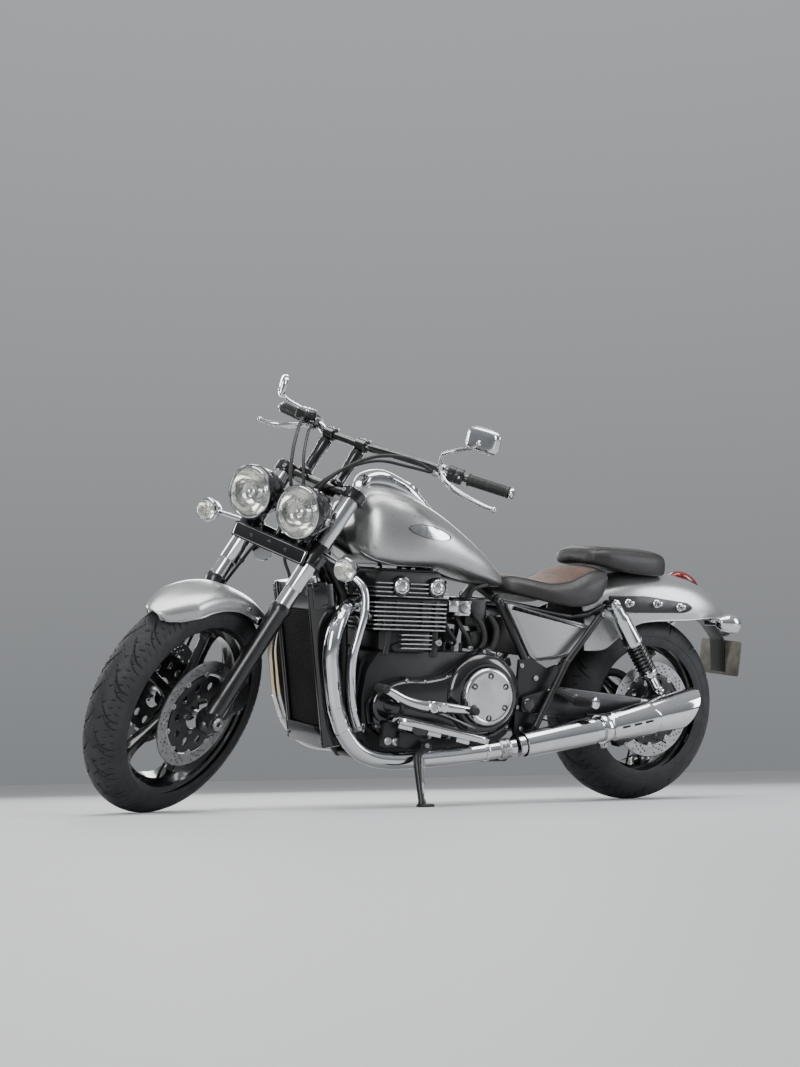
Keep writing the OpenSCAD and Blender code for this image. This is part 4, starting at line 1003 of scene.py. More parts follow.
def cushion(name, rings, node, seam, panel, finishes, cap_mm, voxel=0.0058):
    """seam(p) is how near a point lies to a stitched line (0..1); panel(p) picks the top leather."""
    g = loft([[tuple(PARK @ Vector(p)) for p in r] for r in rings])
    mesh = bpy.data.meshes.new(name)
    mesh.from_pydata(g[0], [], g[1])
    bm = bmesh.new()
    bm.from_mesh(mesh)
    bmesh.ops.remove_doubles(bm, verts=bm.verts, dist=0.0001)
    bmesh.ops.recalc_face_normals(bm, faces=bm.faces)
    bm.to_mesh(mesh)
    bm.free()
    o = bpy.data.objects.new(name, mesh)
    bpy.context.scene.collection.objects.link(o)
    re = o.modifiers.new("remesh", "REMESH")
    re.mode, re.voxel_size = "VOXEL", voxel * 1
    sm = o.modifiers.new("relax", "SMOOTH")
    sm.factor, sm.iterations = 0.5, 3
    o.data = bpy.data.meshes.new_from_object(o.evaluated_get(bpy.context.evaluated_depsgraph_get()))
    o.modifiers.clear()
    rest = [v.co.copy() for v in o.data.vertices]
    pins = o.vertex_groups.new(name="seams")
    for v in o.data.vertices:
        w = seam(TO_BIKE @ v.co)
        if w > 0:
            pins.add([v.index], w, "REPLACE")
    cloth = o.modifiers.new("cloth", "CLOTH")
    c = cloth.settings
    c.quality, c.mass = 5, 0.3
    c.tension_stiffness = c.compression_stiffness = 12
    c.shear_stiffness, c.bending_stiffness = 4, 0.6
    c.use_pressure, c.uniform_pressure_force = True, 4
    c.vertex_group_mass = "seams"
    c.effector_weights.gravity = 0
    for f in range(1, 21):
        bpy.context.scene.frame_set(f)
    blown = bpy.data.meshes.new_from_object(o.evaluated_get(bpy.context.evaluated_depsgraph_get()))
    o.modifiers.clear()
    for v, r, b in zip(o.data.vertices, rest, blown.vertices):
        d = b.co - r
        if d.length > cap_mm / 1000:
            d = d.normalized() * cap_mm / 1000
        v.co = r + d
    bpy.context.scene.frame_set(1)
    sub = o.modifiers.new("smooth", "SUBSURF")
    sub.levels = sub.render_levels = 1
    final = bpy.data.meshes.new_from_object(o.evaluated_get(bpy.context.evaluated_depsgraph_get()))
    bpy.data.objects.remove(o)
    mats = []
    for p in final.polygons:
        q = TO_BIKE @ p.center
        mats.append(panel(q, (TO_BIKE.to_3x3() @ p.normal).normalized()))
    made = piece(name, final, "chassis", finishes, mats, (node,), crease=60, weld=False)
    return made


def rider_half(x):
    """Half width of the suede panel at x."""
    return float(np.interp(x, [226, 250, 300, 360, 430, 500, 556], [92, 112, 128, 130, 122, 100, 66]))


def rider_seam(p):
    near = abs(abs(p.y) - rider_half(p.x))
    if p.z < 690 and p.x > 320 or p.z < 660:
        return 1.0
    return max(0.0, 1 - near / 9) if 232 < p.x < 560 else 0.6


def rider_panel(p, nrm):
    return 1 if nrm.z > 0.25 and abs(p.y) < rider_half(p.x) and 236 < p.x < 558 and p.z > 690 else 0


PANEL_SEAMS, PANEL_HALF = (214, 184), 98


def pillion_seam(p):
    lines = min(abs(p.x - x) for x in PANEL_SEAMS)
    if p.z < 742:
        return 1.0
    return max(0.0, 1 - min(lines, abs(abs(p.y) - PANEL_HALF)) / 7)


rider = cushion("rider_seat_cover",
                round_end(round_end(body_rings(RIDER, 8, 72, et=0.7, shrink=4), bulge=6), bulge=8, sign=-1),
                "rider_seat", rider_seam, rider_panel, [LEATHER, SUEDE], 9)
pillion = cushion("pillion_cover",
                  round_end(round_end(body_rings(PILLION, 8, 72, et=0.6, shrink=3), bulge=6), bulge=6,
                            sign=-1),
                  "passenger_seat", pillion_seam, lambda p, n: 0, [LEATHER], 8)
print("seat vertices", len(rider.data.vertices), len(pillion.data.vertices))

# %% [markdown]
# Piping hides the join of two leathers. Its path is found by dropping points onto the finished
# cushion from above, so it sits exactly in the seam.

# %% Piping and stitches


def drop_on(tree, x, y, sink=0.0, top=900):
    hit = tree.ray_cast(PARK @ Vector((x, y, top)), (PARK.to_3x3() @ Vector((0, 0, -1))).normalized())
    return None if hit[0] is None else TO_BIKE @ hit[0] - Vector((0, 0, sink))


trim = Shape()
tree = BVHTree.FromPolygons([v.co for v in rider.data.vertices],
                            [tuple(p.vertices) for p in rider.data.polygons])
xs = list(np.linspace(238, 556, 26))
ring_xy = [(x, rider_half(x)) for x in xs] + [(566, y) for y in (50, 0, -50)] + [(x, -rider_half(x))
    for x in xs[::-1]] + [(229, y) for y in (-60, 0, 60)]
path = [drop_on(tree, x, y, 0.6) for x, y in ring_xy]
path = [tuple(p) for p in path if p]
trim.add(tube(path + path[:1], 3.0, 10, 3), None, 0)
tree2 = BVHTree.FromPolygons([v.co for v in pillion.data.vertices],
                             [tuple(p.vertices) for p in pillion.data.polygons])
stitch = turned([(0.01, -2.2), (0.8, -1.6), (0.8, 1.6), (0.01, 2.2)], 6)
for x in PANEL_SEAMS:
    line = [drop_on(tree2, x, y, 0.2) for y in np.linspace(-PANEL_HALF, PANEL_HALF, 30)]
    line = [tuple(p) for p in line if p]
    if len(line) > 3:
        trim.add(tube(line, 1.6, 8, 2), None, 0)
    for off in (-4, 4):
        for y in np.arange(-92, 93, 6.5):
            p = drop_on(tree2, x + off, y, 0.2)
            if p:
                trim.add(stitch, Matrix.Translation(p) @ turn("X", 90), 1)
for xs2, half in ((np.linspace(-34, 244, 30), PANEL_HALF),):
    for sign in (1, -1):
        line = [drop_on(tree2, x, sign * half, 0.4) for x in xs2]
        line = [tuple(p) for p in line if p]
        if len(line) > 3:
            trim.add(tube(line, 2.2, 8, 2), None, 0)
        for x in np.arange(-28, 240, 6.5):
            p = drop_on(tree2, x, sign * (PANEL_HALF - 5), 0.2)
            if p:
                trim.add(stitch, Matrix.Translation(p) @ turn("Y", 90), 1)
for x, half in [(x, rider_half(x)) for x in np.arange(242, 554, 6.5)]:
    for sign in (1, -1):
        p = drop_on(tree, x, sign * (half - 7), 0.2)
        if p:
            trim.add(stitch, Matrix.Translation(p) @ turn("Y", 90), 1)
trim.make("seat_piping", "chassis", [RUBBER, THREAD])
print("trim faces", len(trim.faces))

# %% [markdown]
# ## Engine
# An air-finned twin: cast crankcase, a barrel whose fins are machined bright at the edges, a head
# with two round caps, and gloss covers at each side. Each fin is one thin slab and the row tree
# repeats it, so the stack keeps its even pitch.

# %% Crankcase and covers
case = Shape()
case.plate([[1082, 350], [1070, 430], [1030, 486], [700, 486], [612, 440], [561, 380], [561, 240],
            [620, 196], [1040, 196], [1078, 240]],
           -127, 127, edge=8, corner=16)
case.plate([[980, 200], [700, 200], [720, 188], [960, 188]], -70, 70, edge=4, corner=6)
case.plate([[566, 404], [566, 252], [430, 284], [430, 384]], -95, 95, edge=6, corner=14)
case.rod((440, -88, 332), (440, -106, 332), 20, finish=1)
case.add(turned([(16, -127), (42.5, -127), (44, -125), (44, -107), (42.5, -105), (16, -105)], 64,
                closed=True), move(440, 0, 332) @ ACROSS, 1)
case.add(ring_of(moved(bolt(6, 6), move(0, 0, 0)), 1, STEEL), move(440, -127, 332) @ turn("X", 90), 1)
# cast webs down the front and under the barrel
for y in (-96, -48, 0, 48, 96):
    case.plate([[1088, 352], [1078, 440], [1060, 470], [1052, 430], [1072, 346], [1070, 250], [1082, 246]],
               y - 3, y + 3, edge=1.5, corner=8)
for x in (742, 772, 802):
    case.rod((x, 108, 486), (x, 108, 512), 6, both=True)
# sculpted posts either side of the lower barrel
case.add(loft([[(x + (15 - 3 * h) * power(cos(a), 0.6), 118 + 14 * power(sin(a), 0.6), z)
                for a in np.linspace(0, 2 * pi, 24, endpoint=False)]
               for x, z, h in ((848, 470, 0), (846, 500, 0.6), (845, 545, 1))]), None, 0, both=True)
case.add(loft([[(x + (12 - 2 * h) * power(cos(a), 0.6), 118 + 14 * power(sin(a), 0.6), z)
                for a in np.linspace(0, 2 * pi, 24, endpoint=False)]
               for x, z, h in ((1012, 474, 0), (1006, 505, 0.6), (1004, 546, 1))]), None, 0, both=True)
case.plate([[990, 482], [886, 482], [878, 500], [896, 510], [980, 510], [1000, 500]], 104, 140, edge=6,
           corner=10, both=True)
# drain plug, oil line union, pressure switch
case.rod((800, 0, 186), (800, 0, 178), 14, finish=1)
case.rod((1080, 40, 300), (1096, 40, 300), 36, 33, finish=0)
case.add(ring_of(moved(box(2, 3, 18, 0.5, 1), move(33.5, 0, 8)), 24, CAST),
         move(1080, 40, 300) @ turn("Y", 90), 0)
case.rod((640, 104, 470), (628, 120, 478), 9, finish=1, both=True)
case.make("crankcase_casting", "chassis", [CAST, STEEL], ("crankcase",))

SIDE_COVER = [[1076, 343], [1020, 398], [960, 412], [898, 409], [826, 422], [760, 466], [699, 502],
              [640, 494],
              [590, 440], [558, 380], [556, 320], [596, 256], [668, 226], [1010, 226], [1062, 262]]
cover = Shape()
cover.plate(SIDE_COVER, 127, 140, edge=2, corner=26, both=True)
cover.plate(inset(SIDE_COVER, 3).tolist(), 138, 172, edge=9, corner=28, dome=5, both=True)
cover.add(turned([(130, -6), (127, 6), (121, 14), (112, 20), (102, 24), (94, 25.4), (90, 24), (88, 10),
                  (0.01, 10)], 96), move(695, 172, 358) @ ACROSS, 0, both=True)
# polished round cap with a stepped rim; its face is plain
cover.add(turned([(88, 0), (87, 10), (84, 16), (79, 19.5), (74, 20), (71.5, 18.6), (68, 18.4), (52, 19.4),
                  (26, 20.2), (0.01, 20.5)], 96),
          move(695, 196, 358) @ ACROSS, 1, both=True)
cover.add(moved(ring_of(moved(turned([(9.5, 0), (9.5, 2.4), (8.6, 3.2), (7.4, 3.2), (6.8, 1.0), (3.8, 1.0),
                                      (3.4, -1), (0.01, -1)], 24), move(63, 0, 18)), 6, GLOSS),
                                      turn("Z", 30)),
          move(695, 196, 358) @ ACROSS, 0, both=True)
# boss at the front of the cover, with its own small plug
cover.add(turned([(54, -6), (53, 7), (49, 11), (44, 12.5), (40, 11), (38, 6), (18, 6), (16, 9), (0.01, 10)],
                 72), move(1020, 176, 330) @ ACROSS, 0, both=True)
# bolt bosses follow the edge of the cover
edge_pts = inset(SIDE_COVER, 11)
walk = np.vstack([edge_pts, edge_pts[:1]])
for i in range(len(walk) - 1):
    steps = max(1, int(round(np.linalg.norm(walk[i + 1] - walk[i]) / 74)))
    for k in range(steps):
        x, z = walk[i] + (walk[i + 1] - walk[i]) * k / steps
        if math.hypot(x - 695, z - 358) > 130 and math.hypot(x - 1020, z - 330) > 60:
            cover.add(turned([(10.5, -4), (10, 30), (8.5, 33), (0.01, 33)], 20), move(x, 138, z) @ ACROSS,
                      0, both=True)
            cover.add(moved(bolt(5.2, 4.5), move(0, 0, 32.8)), move(x, 138, z) @ ACROSS, 2, both=True)
cover.make("engine_side_covers", "chassis", [GLOSS, POLISHED, STEEL], ("engine_covers",), crease=32)


# %% Barrel and head fins
def fin_blade(x0, x1, half, t, notch=None, corner=14):
    """One fin: black faces and a machined rim. Returns (faces part, rim part)."""
    o = [(x0, -half), (x1, -half), (x1, half), (x0, half)]
    if notch:
        o = [(x0, -half)] + notch(-1) + [(x1, -half), (x1, half)] + notch(1)[::-1] + [(x0, half)]
    ring = rounded(o, corner, 4) if not notch else rounded(o, 3, 3)
    p = np.array(ring)
    if np.sum(p[:, 0] * np.roll(p[:, 1], -1) - np.roll(p[:, 0], -1) * p[:, 1]) < 0:
        p = p[::-1]
    a, b = inset(p, 5.0), inset(p, 0.5)
    n = len(p)
    rings = [(a, 0.3), (b, 0.3), (p, 0.8), (p, t - 0.8), (b, t - 0.3), (a, t - 0.3)]
    pts = [(x, y, z) for q, z in rings for x, y in q]
    quad = lambda i: [(i * n + j, i * n + (j + 1) % n, (i + 1) * n + (j + 1) % n, (i + 1) * n + j)
                      for j in range(n)]
    black = quad(0) + quad(4) + [tuple(range(n))[::-1], tuple(5 * n + j for j in range(n))]
    return (pts, black), (pts, quad(1) + quad(2) + quad(3))


barrel = Shape()
blade, rim = fin_blade(819, 1067, 153, 4.4)
pitch = 90 / 7
for part, look_no in ((blade, 0), (rim, 1)):
    barrel.add(moved(row_of(part, 7, (0, 0, pitch), GLOSS), move(0, 0, 546.8)), None, look_no)
blade, rim = fin_blade(867, 973, 153, 4.0, corner=8)
for part, look_no in ((blade, 0), (rim, 1)):
    barrel.add(moved(row_of(part, 4, (0, 0, 13), GLOSS), move(0, 0, 492)), None, look_no)
barrel.plate([[838, 544], [1050, 544], [1050, 640], [838, 640]], -138, 138, edge=4, corner=14)
barrel.plate([[862, 486], [1036, 486], [1036, 545], [862, 545]], -128, 128, edge=4, corner=10)
# tie ribs between the fins, and the bolts down the joint
for x in (858, 902, 990, 1032):
    barrel.add(box(5, 8, 88, 1, 1), move(x, 144, 590), 0, both=True)
barrel.rod((1040, 80, 606), (1071, 80, 606), 33, finish=0, both=True)
barrel.add(turned([(24, 0), (34, 0), (36, 3), (36, 10), (33, 12), (24, 12)], 48, closed=True),
           move(1062, 80, 606) @ turn("Y", 90), 2, both=True)
for a in (60, 240):
    barrel.add(moved(bolt(7, 9, False), move(45 * cos(radians(a)), 45 * sin(radians(a)), 0)),
               move(1062, 80, 606) @ turn("Y", 90), 2, both=True)
    barrel.add(box(24, 20, 8, 2, 8),
               move(1062, 80, 606) @ turn("Y", 90) @ move(40 * cos(radians(a)), 40 * sin(radians(a)), 4)
               @ turn("Z", a), 2, both=True)
barrel.make("barrel_casting", "chassis", [CAST, MACHINED, CHROME], ("cylinder_block",), crease=32)

head = Shape()


def cap_notch(side_no):
    out = []
    for cx in (860, 981):
        out += [(cx + 31 * cos(radians(a)) * -1, side_no * (153 - 9 * sin(radians(a))))
                for a in np.linspace(0, 180, 9)]
    return out


for z in (643.6, 656.4, 669.2, 682):
    blade, rim = fin_blade(819 + (z - 643) * 0.15, 1067 - (z - 643) * 0.15, 153, 4.2, cap_notch)
    head.add(moved(blade, move(0, 0, z)), None, 0)
    head.add(moved(rim, move(0, 0, z)), None, 1)
head.plate([[828, 640], [1062, 640], [1062, 700], [1046, 720], [846, 720], [828, 700]], -141, 141, edge=6,
           corner=12)
head.plate([[842, 716], [1050, 716], [1036, 727], [856, 727]], -118, 118, edge=5, corner=6)
for cx in (981, 860):
    head.add(turned([(31, -12), (31, 4), (29, 8), (25, 9.5), (24, 8)], 56), move(cx, 145, 676) @ ACROSS, 2,
             both=True)
    head.add(turned([(24.5, 6), (24, 10), (21.5, 12.2), (19, 12.4), (17.6, 10.6), (15.5, 10.4), (14, 12),
                     (12, 12.4), (10.4, 11), (0.01, 11.4)], 64),
             move(cx, 145, 676) @ ACROSS, 3, both=True)
for x in (848, 920, 1040):
    head.add(moved(bolt(6.5, 6), turn("X", 0)), move(x, 104, 726), 4, both=True)
# spark plug leads run from the top of the head to the coils
head.add(tube([(944, 62, 722), (944, 66, 742), (930, 72, 756), (880, 76, 748), (830, 70, 726)], 4, 10, 5),
         None, 5, both=True)
head.rod((944, 62, 712), (944, 62, 738), 9, 7, finish=5, both=True)
head.make("cylinder_head_casting", "chassis", [CAST, MACHINED, GLOSS, CHROME, STEEL, RUBBER],
          ("cylinder_head",), crease=32)

# %% Throttle bodies and intake
intake = Shape()
intake.plate([[646, 562], [724, 562], [724, 646], [646, 646]], -96, 96, edge=7, corner=14, finish=1)
for sign in (1, -1):
    at = move(722, 78 * sign, 617) @ turn("Y", 90)
    intake.add(turned([(32, -6), (33.5, 0), (33.5, 8), (31, 10), (31, 14), (33, 16), (33, 22), (30, 25),
                       (29, 40), (31, 42), (31, 52),
                       (28, 55), (28, 97)], 56), at, 1)
    intake.add(turned([(31, 28), (33, 30), (33, 48), (31, 50)], 56), at, 0)
intake.add(box(58, 34, 46, 5, 8), move(752, 112, 617), 0, both=True)
intake.add(box(34, 12, 34, 3, 6), move(790, 132, 622), 0, both=True)
for dz in (-13, 0, 13):
    intake.add(box(52, 4, 5, 1.2, 2), move(754, 130, 617 + dz), 0, both=True)
intake.add(turned([(15, -16), (15, 4), (13.5, 6.5), (9, 7.5), (7, 6), (5, 4), (0.01, 4)], 40),
           move(752, 137, 617) @ ACROSS, 2, both=True)
for x, z in ((730, 636), (774, 598)):
    intake.add(moved(bolt(4.5, 5), turn("X", -90)), move(x, 129, z), 2, both=True)
for pts, r in (([(730, 120, 640), (724, 128, 672), (700, 130, 684), (668, 120, 690)], 6),
               ([(700, 104, 600), (676, 120, 566), (668, 124, 520), (690, 122, 486)], 8),
               ([(760, 100, 594), (752, 122, 560), (730, 126, 528), (716, 122, 496)], 7),
               ([(812, 120, 610), (818, 130, 580), (800, 132, 548), (776, 128, 520), (772, 112, 506)], 6),
               ([(640, 100, 600), (622, 116, 560), (626, 120, 520), (640, 118, 486)], 9)):
    intake.add(tube(pts, r, 14, 6), None, 3, both=True)
for c in ((716, 122, 500), (690, 122, 490), (772, 112, 512)):
    intake.add(turned([(9, -4), (10.5, -3), (10.5, 3), (9, 4)], 24), move(*c), 2, both=True)
# starter and coil block behind the barrel
intake.add(turned([(25, 0), (27, 4), (27, 62), (24, 68), (10, 70), (0.01, 70)], 48),
           move(800, -40, 540) @ turn("Y", -90), 1)
intake.add(box(44, 60, 54, 5, 8), move(690, 84, 520), 1, both=True)
intake.add(turned([(10, 0), (12, 3), (12, 16), (9, 20), (4, 20), (4, 16), (0.01, 16)], 32),
           move(838, 122, 512) @ ACROSS, 2, both=True)
intake.make("intake_set", "chassis", [POLISHED, PLASTIC, STEEL, RUBBER], ("throttle_bodies",))
print("engine built")

# %% [markdown]
# ## Exhaust, radiator and running gear
# The headers are bent chrome tube. Lower down a second, slightly larger tube slides over them as
# a heat shield, and chrome near the engine takes a faint gold tint.

# %% Header pipes and coolant pipes
HEADER = [(1073.2, 80, 606), (1086, 81, 606), (1112, 93, 607), (1146, 124, 606), (1186, 164, 574),
          (1212, 184, 530),
          (1221, 190, 470), (1212, 190, 400), (1197, 191, 326), (1172, 192, 262), (1130, 194, 212),
          (1080, 195, 184),
          (1020, 196, 174), (940, 199, 174), (820, 204, 183), (700, 212, 196), (604, 222, 210)]
pipes = Shape()
for sign in (1, -1):
    flip = Matrix.Scale(sign, 4, (0, 1, 0))
    pipes.add(tube(HEADER, 22.8, 36, 9, caps=False), flip, 0 if sign > 0 else 1)
    pipes.add(tube(HEADER[9:], 25.4, 36, 9), flip, 0)
    pipes.add(tube(HEADER[8:10], 24.6, 36, 6), flip, 0)
pipes.add(turned([(22, 0), (31, 0), (33, 3), (31, 8), (26, 12), (23, 13)], 48),
          move(1073, 80, 606) @ turn("Y", 88), 0, both=True)
pipes.add(turned([(24, -6), (27.6, -6), (28.4, -4), (28.4, 4), (27.6, 6), (24, 6)], 40),
          aim((700, 212, 196), (640, 218, 204)), 0, both=True)
a, b = (655, 215, 201), (604, 222, 210)
pipes.add(turned([(23, 0), (29.5, 0), (31, 2), (31, 12), (29, 14), (29, 20), (31, 22), (31, 32), (29.5, 34),
                  (23, 34)], 48), aim(a, b), 2, both=True)
pipes.add(box(12, 16, 30, 2, 3), aim(a, b) @ move(-34, 0, 17), 2, both=True)
pipes.add(moved(bolt(5, 18, False), turn("X", 90)), aim(a, b) @ move(-36, 8, 9), 2, both=True)
pipes.make("header_pipe_set", "chassis", [CHROME, TINTED, STEEL], ("header_pipes",), crease=40)

COOL = [(1146, 88, 700), (1122, 112, 692), (1100, 138, 660), (1098, 148, 600), (1116, 152, 530),
        (1130, 152, 470),
        (1132, 152, 400), (1120, 150, 320), (1096, 146, 256)]
water = Shape()
water.add(tube(COOL, 14, 28, 8), None, 0, both=True)
water.add(turned([(13, 0), (17, 0), (17.6, 1.5), (17.6, 10), (17, 11.5), (13, 11.5)], 32),
          aim((1096, 146, 256), (1103, 147, 276)), 1, both=True)
water.add(tube([(1096, 146, 256), (1092, 145, 246), (1080, 140, 240), (1064, 130, 238)], 12, 20, 6), None,
          2, both=True)
water.add(box(10, 8, 26, 1.5, 2), move(1084, 150, 262), 1, both=True)
water.make("coolant_pipe_set", "chassis", [CHROME, STEEL, RUBBER], ("coolant_pipes",), crease=40)


# %% [markdown]
# The silencers swell towards a slash-cut mouth. The mouth is hollow and closed a little way in by
# a dark disc of painted shade, and a second chrome skin with three slots shields the heat.

# %% Silencers
def cone_along(a, b, r0, r1, rings, end=None, n=56):
    """Round taper from a to b. end(direction) gives each generator's own length for a slash cut."""
    a, b = np.array(a, float), np.array(b, float)
    d = (b - a) / np.linalg.norm(b - a)
    u = np.cross([0, 1, 0], d)
    u = u / np.linalg.norm(u)
    w = np.cross(d, u)
    out = []
    for t, scale in rings:
        ring = []
        for q in np.linspace(0, 2 * pi, n, endpoint=False):
            r = (r0 + (r1 - r0) * min(t, 1.0)) * scale
            side_v = cos(q) * u + sin(q) * w
            l = np.linalg.norm(b - a) * t
            if end is not None and t > 0.75:
                l = l + (end(r * side_v, d) - np.linalg.norm(b - a)) * (t - 0.75) / 0.25
            ring.append(tuple(a + d * l + side_v * r))
        out.append(ring)
    return out


A, B, C = (598, 224, 212), (298, 232, 261), (-28, 232, 324)
CUT = np.array((cos(radians(24)), 0, sin(radians(24))))


def slash(offset, d):
    """Length along the axis at which this generator meets the cut plane."""
    return np.dot(np.array(C) - 15 * -CUT * -1 - np.array(B) - offset, CUT) / np.dot(d, CUT)


silencer = Shape()
silencer.add(loft(cone_along(A, B, 31, 39,
                             [(0, 0.8), (0.01, 1), (0.3, 1), (0.6, 1), (0.97, 1), (1, 0.98)])), None, 0,
                             both=True)
silencer.add(loft(cone_along(A, B, 36, 43,
                             [(0.08, 0.97), (0.085, 1.03), (0.5, 1.03), (0.9, 1.03), (0.905, 0.97)]),
                             False), None, 0, both=True)
outer = cone_along(B, C, 41, 60,
                   [(0, 0.94), (0.012, 1), (0.2, 1), (0.4, 1), (0.6, 1), (0.75, 1), (0.9, 1), (0.985, 1),
                    (1, 0.985), (1, 0.955), (0.985, 0.94),
                                  (0.92, 0.93), (0.86, 0.93)], slash)
silencer.add(loft(outer, False), None, 0, both=True)
# dark disc of painted shade a little way inside the hollow mouth
silencer.add(loft(cone_along(B, C, 41, 60, [(0.86, 0.94), (0.855, 0.5), (0.8, 0.49), (0.8, 0.01)], slash)),
             None, 2, both=True)
# clamp band and its bolt at the joint
band = np.array(B) + (np.array(C) - B) * 0.01
silencer.add(turned([(40, -2), (45.4, -2), (46.4, 0), (46.4, 20), (45.4, 22), (40, 22)], 64),
             aim(tuple(band), C), 0, both=True)
silencer.add(box(13, 22, 20, 2, 3), aim(tuple(band), C) @ move(0, -50, 10), 1, both=True)
silencer.add(moved(bolt(5.5, 26, False), turn("Y", 90)), aim(tuple(band), C) @ move(-12, -52, 10), 1,
             both=True)
# heat shield: a second skin on the outer side; its open slots are dark boxes of painted shade laid on it
shield = []
for t in np.linspace(0.09, 0.62, 16):
    c = np.array(B) + (np.array(C) - B) * t
    r = 41 + 19 * t + 3.4
    d = (np.array(C) - B) / np.linalg.norm(np.array(C) - B)
    u = np.cross([0, 1, 0], d)
    u, w = u / np.linalg.norm(u), np.array([0, 1, 0])
    span = 78 * min(1, ((t - 0.09) / 0.05 + 0.35), ((0.62 - t) / 0.07 + 0.3))
    arc = [(tuple(c + (r - e) * (cos(radians(q)) * w - sin(radians(q)) * u))) for e,
           qs in ((0, np.linspace(-span, span, 25)), (2.2, np.linspace(span, -span, 25))) for q in qs]
    shield.append(arc)
silencer.add(loft(shield), None, 0, both=True)
for k in range(3):
    t = 0.22 + 0.13 * k
    c = np.array(B) + (np.array(C) - B) * t
    silencer.add(box(30, 4, 7, 1, 3.4),
                 move(c[0], c[1] + 41 + 19 * t + 2.3, c[2]) @ turn("Y", 10.9) @ turn("X", 0), 2, both=True)
silencer.add(box(26, 34, 6, 2, 6), move(120, 214, 342) @ turn("X", 40), 1, both=True)
silencer.make("silencer_pair", "chassis", [CHROME, STEEL, DARK], ("mufflers",), crease=38)

# %% [markdown]
# The radiator core is thin alloy fins between flat tubes, far finer than the eye can count. Two
# row trees draw them at a visible pitch, behind a moulded shroud.

# %% Radiator
rad = Shape()
tilt = move(1152, 0, 205) @ turn("Y", 9.4)
shroud = lambda y0, y1, z0, z1, d0, d1: ([(d0, y0), (d1, y0), (d1, y1), (d0, y1)], z0, z1)
for o, z0, z1 in (shroud(-122, -104, 0, 478, -18, 42), shroud(104, 122, 0, 478, -18, 42),
                  shroud(-122, 122, 0, 60, -18, 42), shroud(-130, 130, 402, 478, -18, 34)):
    rad.add(slab(rounded(o, 7, 4), z1 - z0, 5), tilt @ move(0, 0, z0), 0)
# dark block behind the core: painted shade seen between the fins
rad.add(box(40, 214, 350, 2, 2), tilt @ move(4, 0, 235), 1)
rad.add(row_of(box(7, 204, 1.4, 0.2, 0.4), 58, (0, 0, 5.9), MESH), tilt @ move(26.5, 0, 64), 2)
rad.add(row_of(box(5, 2.2, 342, 0.3, 0.4), 17, (0, 12.4, 0), MESH), tilt @ move(28, -99, 232), 1)
# side wings of the shroud, swept back, and the filler neck
rad.add(loft([[tuple(tilt @ Vector(p))
               for p in ((42, 122, z), (30, 128, z), (-16, 130, z), (-34, 124, z), (-34, 118, z),
                         (-12, 120, z), (34, 112, z))] for z in (6, 120, 330, 400, 470)]), None, 0,
                         both=True)
rad.add(turned([(12, 0), (20, 0), (22, 2), (22, 12), (18, 15), (0.01, 15)], 32), tilt @ move(4, 60, 476), 3)
rad.add(tube([(1150, 0, 690), (1128, 0, 716), (1098, 30, 720)], 12, 20, 6), None, 4)
rad.add(moved(bolt(6, 5), turn("Y", 90)), tilt @ move(42, 112, 452), 3, both=True)
rad.add(moved(bolt(6, 5), turn("Y", 90)), tilt @ move(42, 112, 22), 3, both=True)
rad.make("radiator_assembly", "chassis", [GLOSS, DARK, MESH, STEEL, RUBBER], ("radiator",), crease=35)

# %% Rear shocks
shock = Shape()
top, low = Vector((214, 166, 647)), Vector((21, 166, 376))
at = aim(low, top)
length = (top - low).length
shock.add(turned([(0.01, 6), (15, 8), (18, 12), (19, 20), (19, 52), (21, 56), (27, 60), (30, 66), (31, 72),
                  (31, 76), (28, 79), (18, 80), (18, 84)], 56), at, 0, both=True)
shock.add(turned([(15, 80), (15, length - 140)], 32), at, 1, both=True)
TURNS = 8
coil = [(24.5 * cos(a), 24.5 * sin(a), 84 + (length - 228) * a / (2 * pi * TURNS))
        for a in np.linspace(0, 2 * pi * TURNS, TURNS * 26)]
shock.add(tube(coil, 5.9, 14, 1), at, 1, both=True)
shock.add(turned([(20, length - 152), (30, length - 150), (31.5, length - 146), (31.5, length - 138),
                  (29.5, length - 134), (29, length - 60), (27, length - 48), (22, length - 38),
                  (21, length - 16), (17, length - 10), (0.01, length - 8)], 56), at, 0, both=True)
shock.add(ring_of(moved(box(2.6, 3.4, 7, 0.6, 1), move(30.6, 0, length - 142)), 20, CHROME), at, 0,
          both=True)
for c, r in ((top, 18), (low, 16)):
    shock.add(turned([(0.01, -17), (r - 2, -17), (r, -15), (r, 13), (r - 2, 15), (11, 16), (10, 20),
                      (8.6, 23), (0.01, 24)], 44), move(*c) @ ACROSS, 0, both=True)
    shock.add(moved(bolt(9, 5, False), move(0, 0, 15)), move(*c) @ ACROSS, 2, both=True)
shock.make("rear_shock_pair", "chassis", [CHROME, GLOSS, STEEL], ("rear_shocks",), crease=35)

# %% Swingarm, axle, belt and caliper
arm = Shape()
ARM = [[545, 352], [545, 308], [400, 292], [60, 292], [-34, 292], [-40, 328], [10, 344], [373, 383],
       [470, 372]]
arm.plate(ARM, 141, 163, edge=5, corner=12, both=True)
arm.plate([[-12, 330], [8, 330], [58, 338], [40, 396], [22, 404], [4, 396]], 141, 147.5, edge=1.5, corner=8,
          both=True)
arm.rod((370, -142, 335), (370, 142, 335), 22.4, both=False)
arm.add(moved(box(60, 4, 22, 1, 6), move(0, 164, 312)), move(2, 0, 0), 1, both=True)
arm.rod((-36, 152, 311), (-52, 152, 311), 5, finish=1, both=True)
arm.add(moved(bolt(8, 6, False), turn("Y", -90)), move(-50, 152, 311), 1, both=True)
arm.make("swingarm_weldment", "chassis", [SATIN, STEEL], ("swingarm",))
axle = Shape()
axle.rod((0, -168, 311), (0, 168, 311), 13)
axle.add(turned([(13, 163.4), (22, 163.4), (22, 166), (18, 167)], 6), move(0, 0, 311) @ ACROSS, 0,
         both=True)
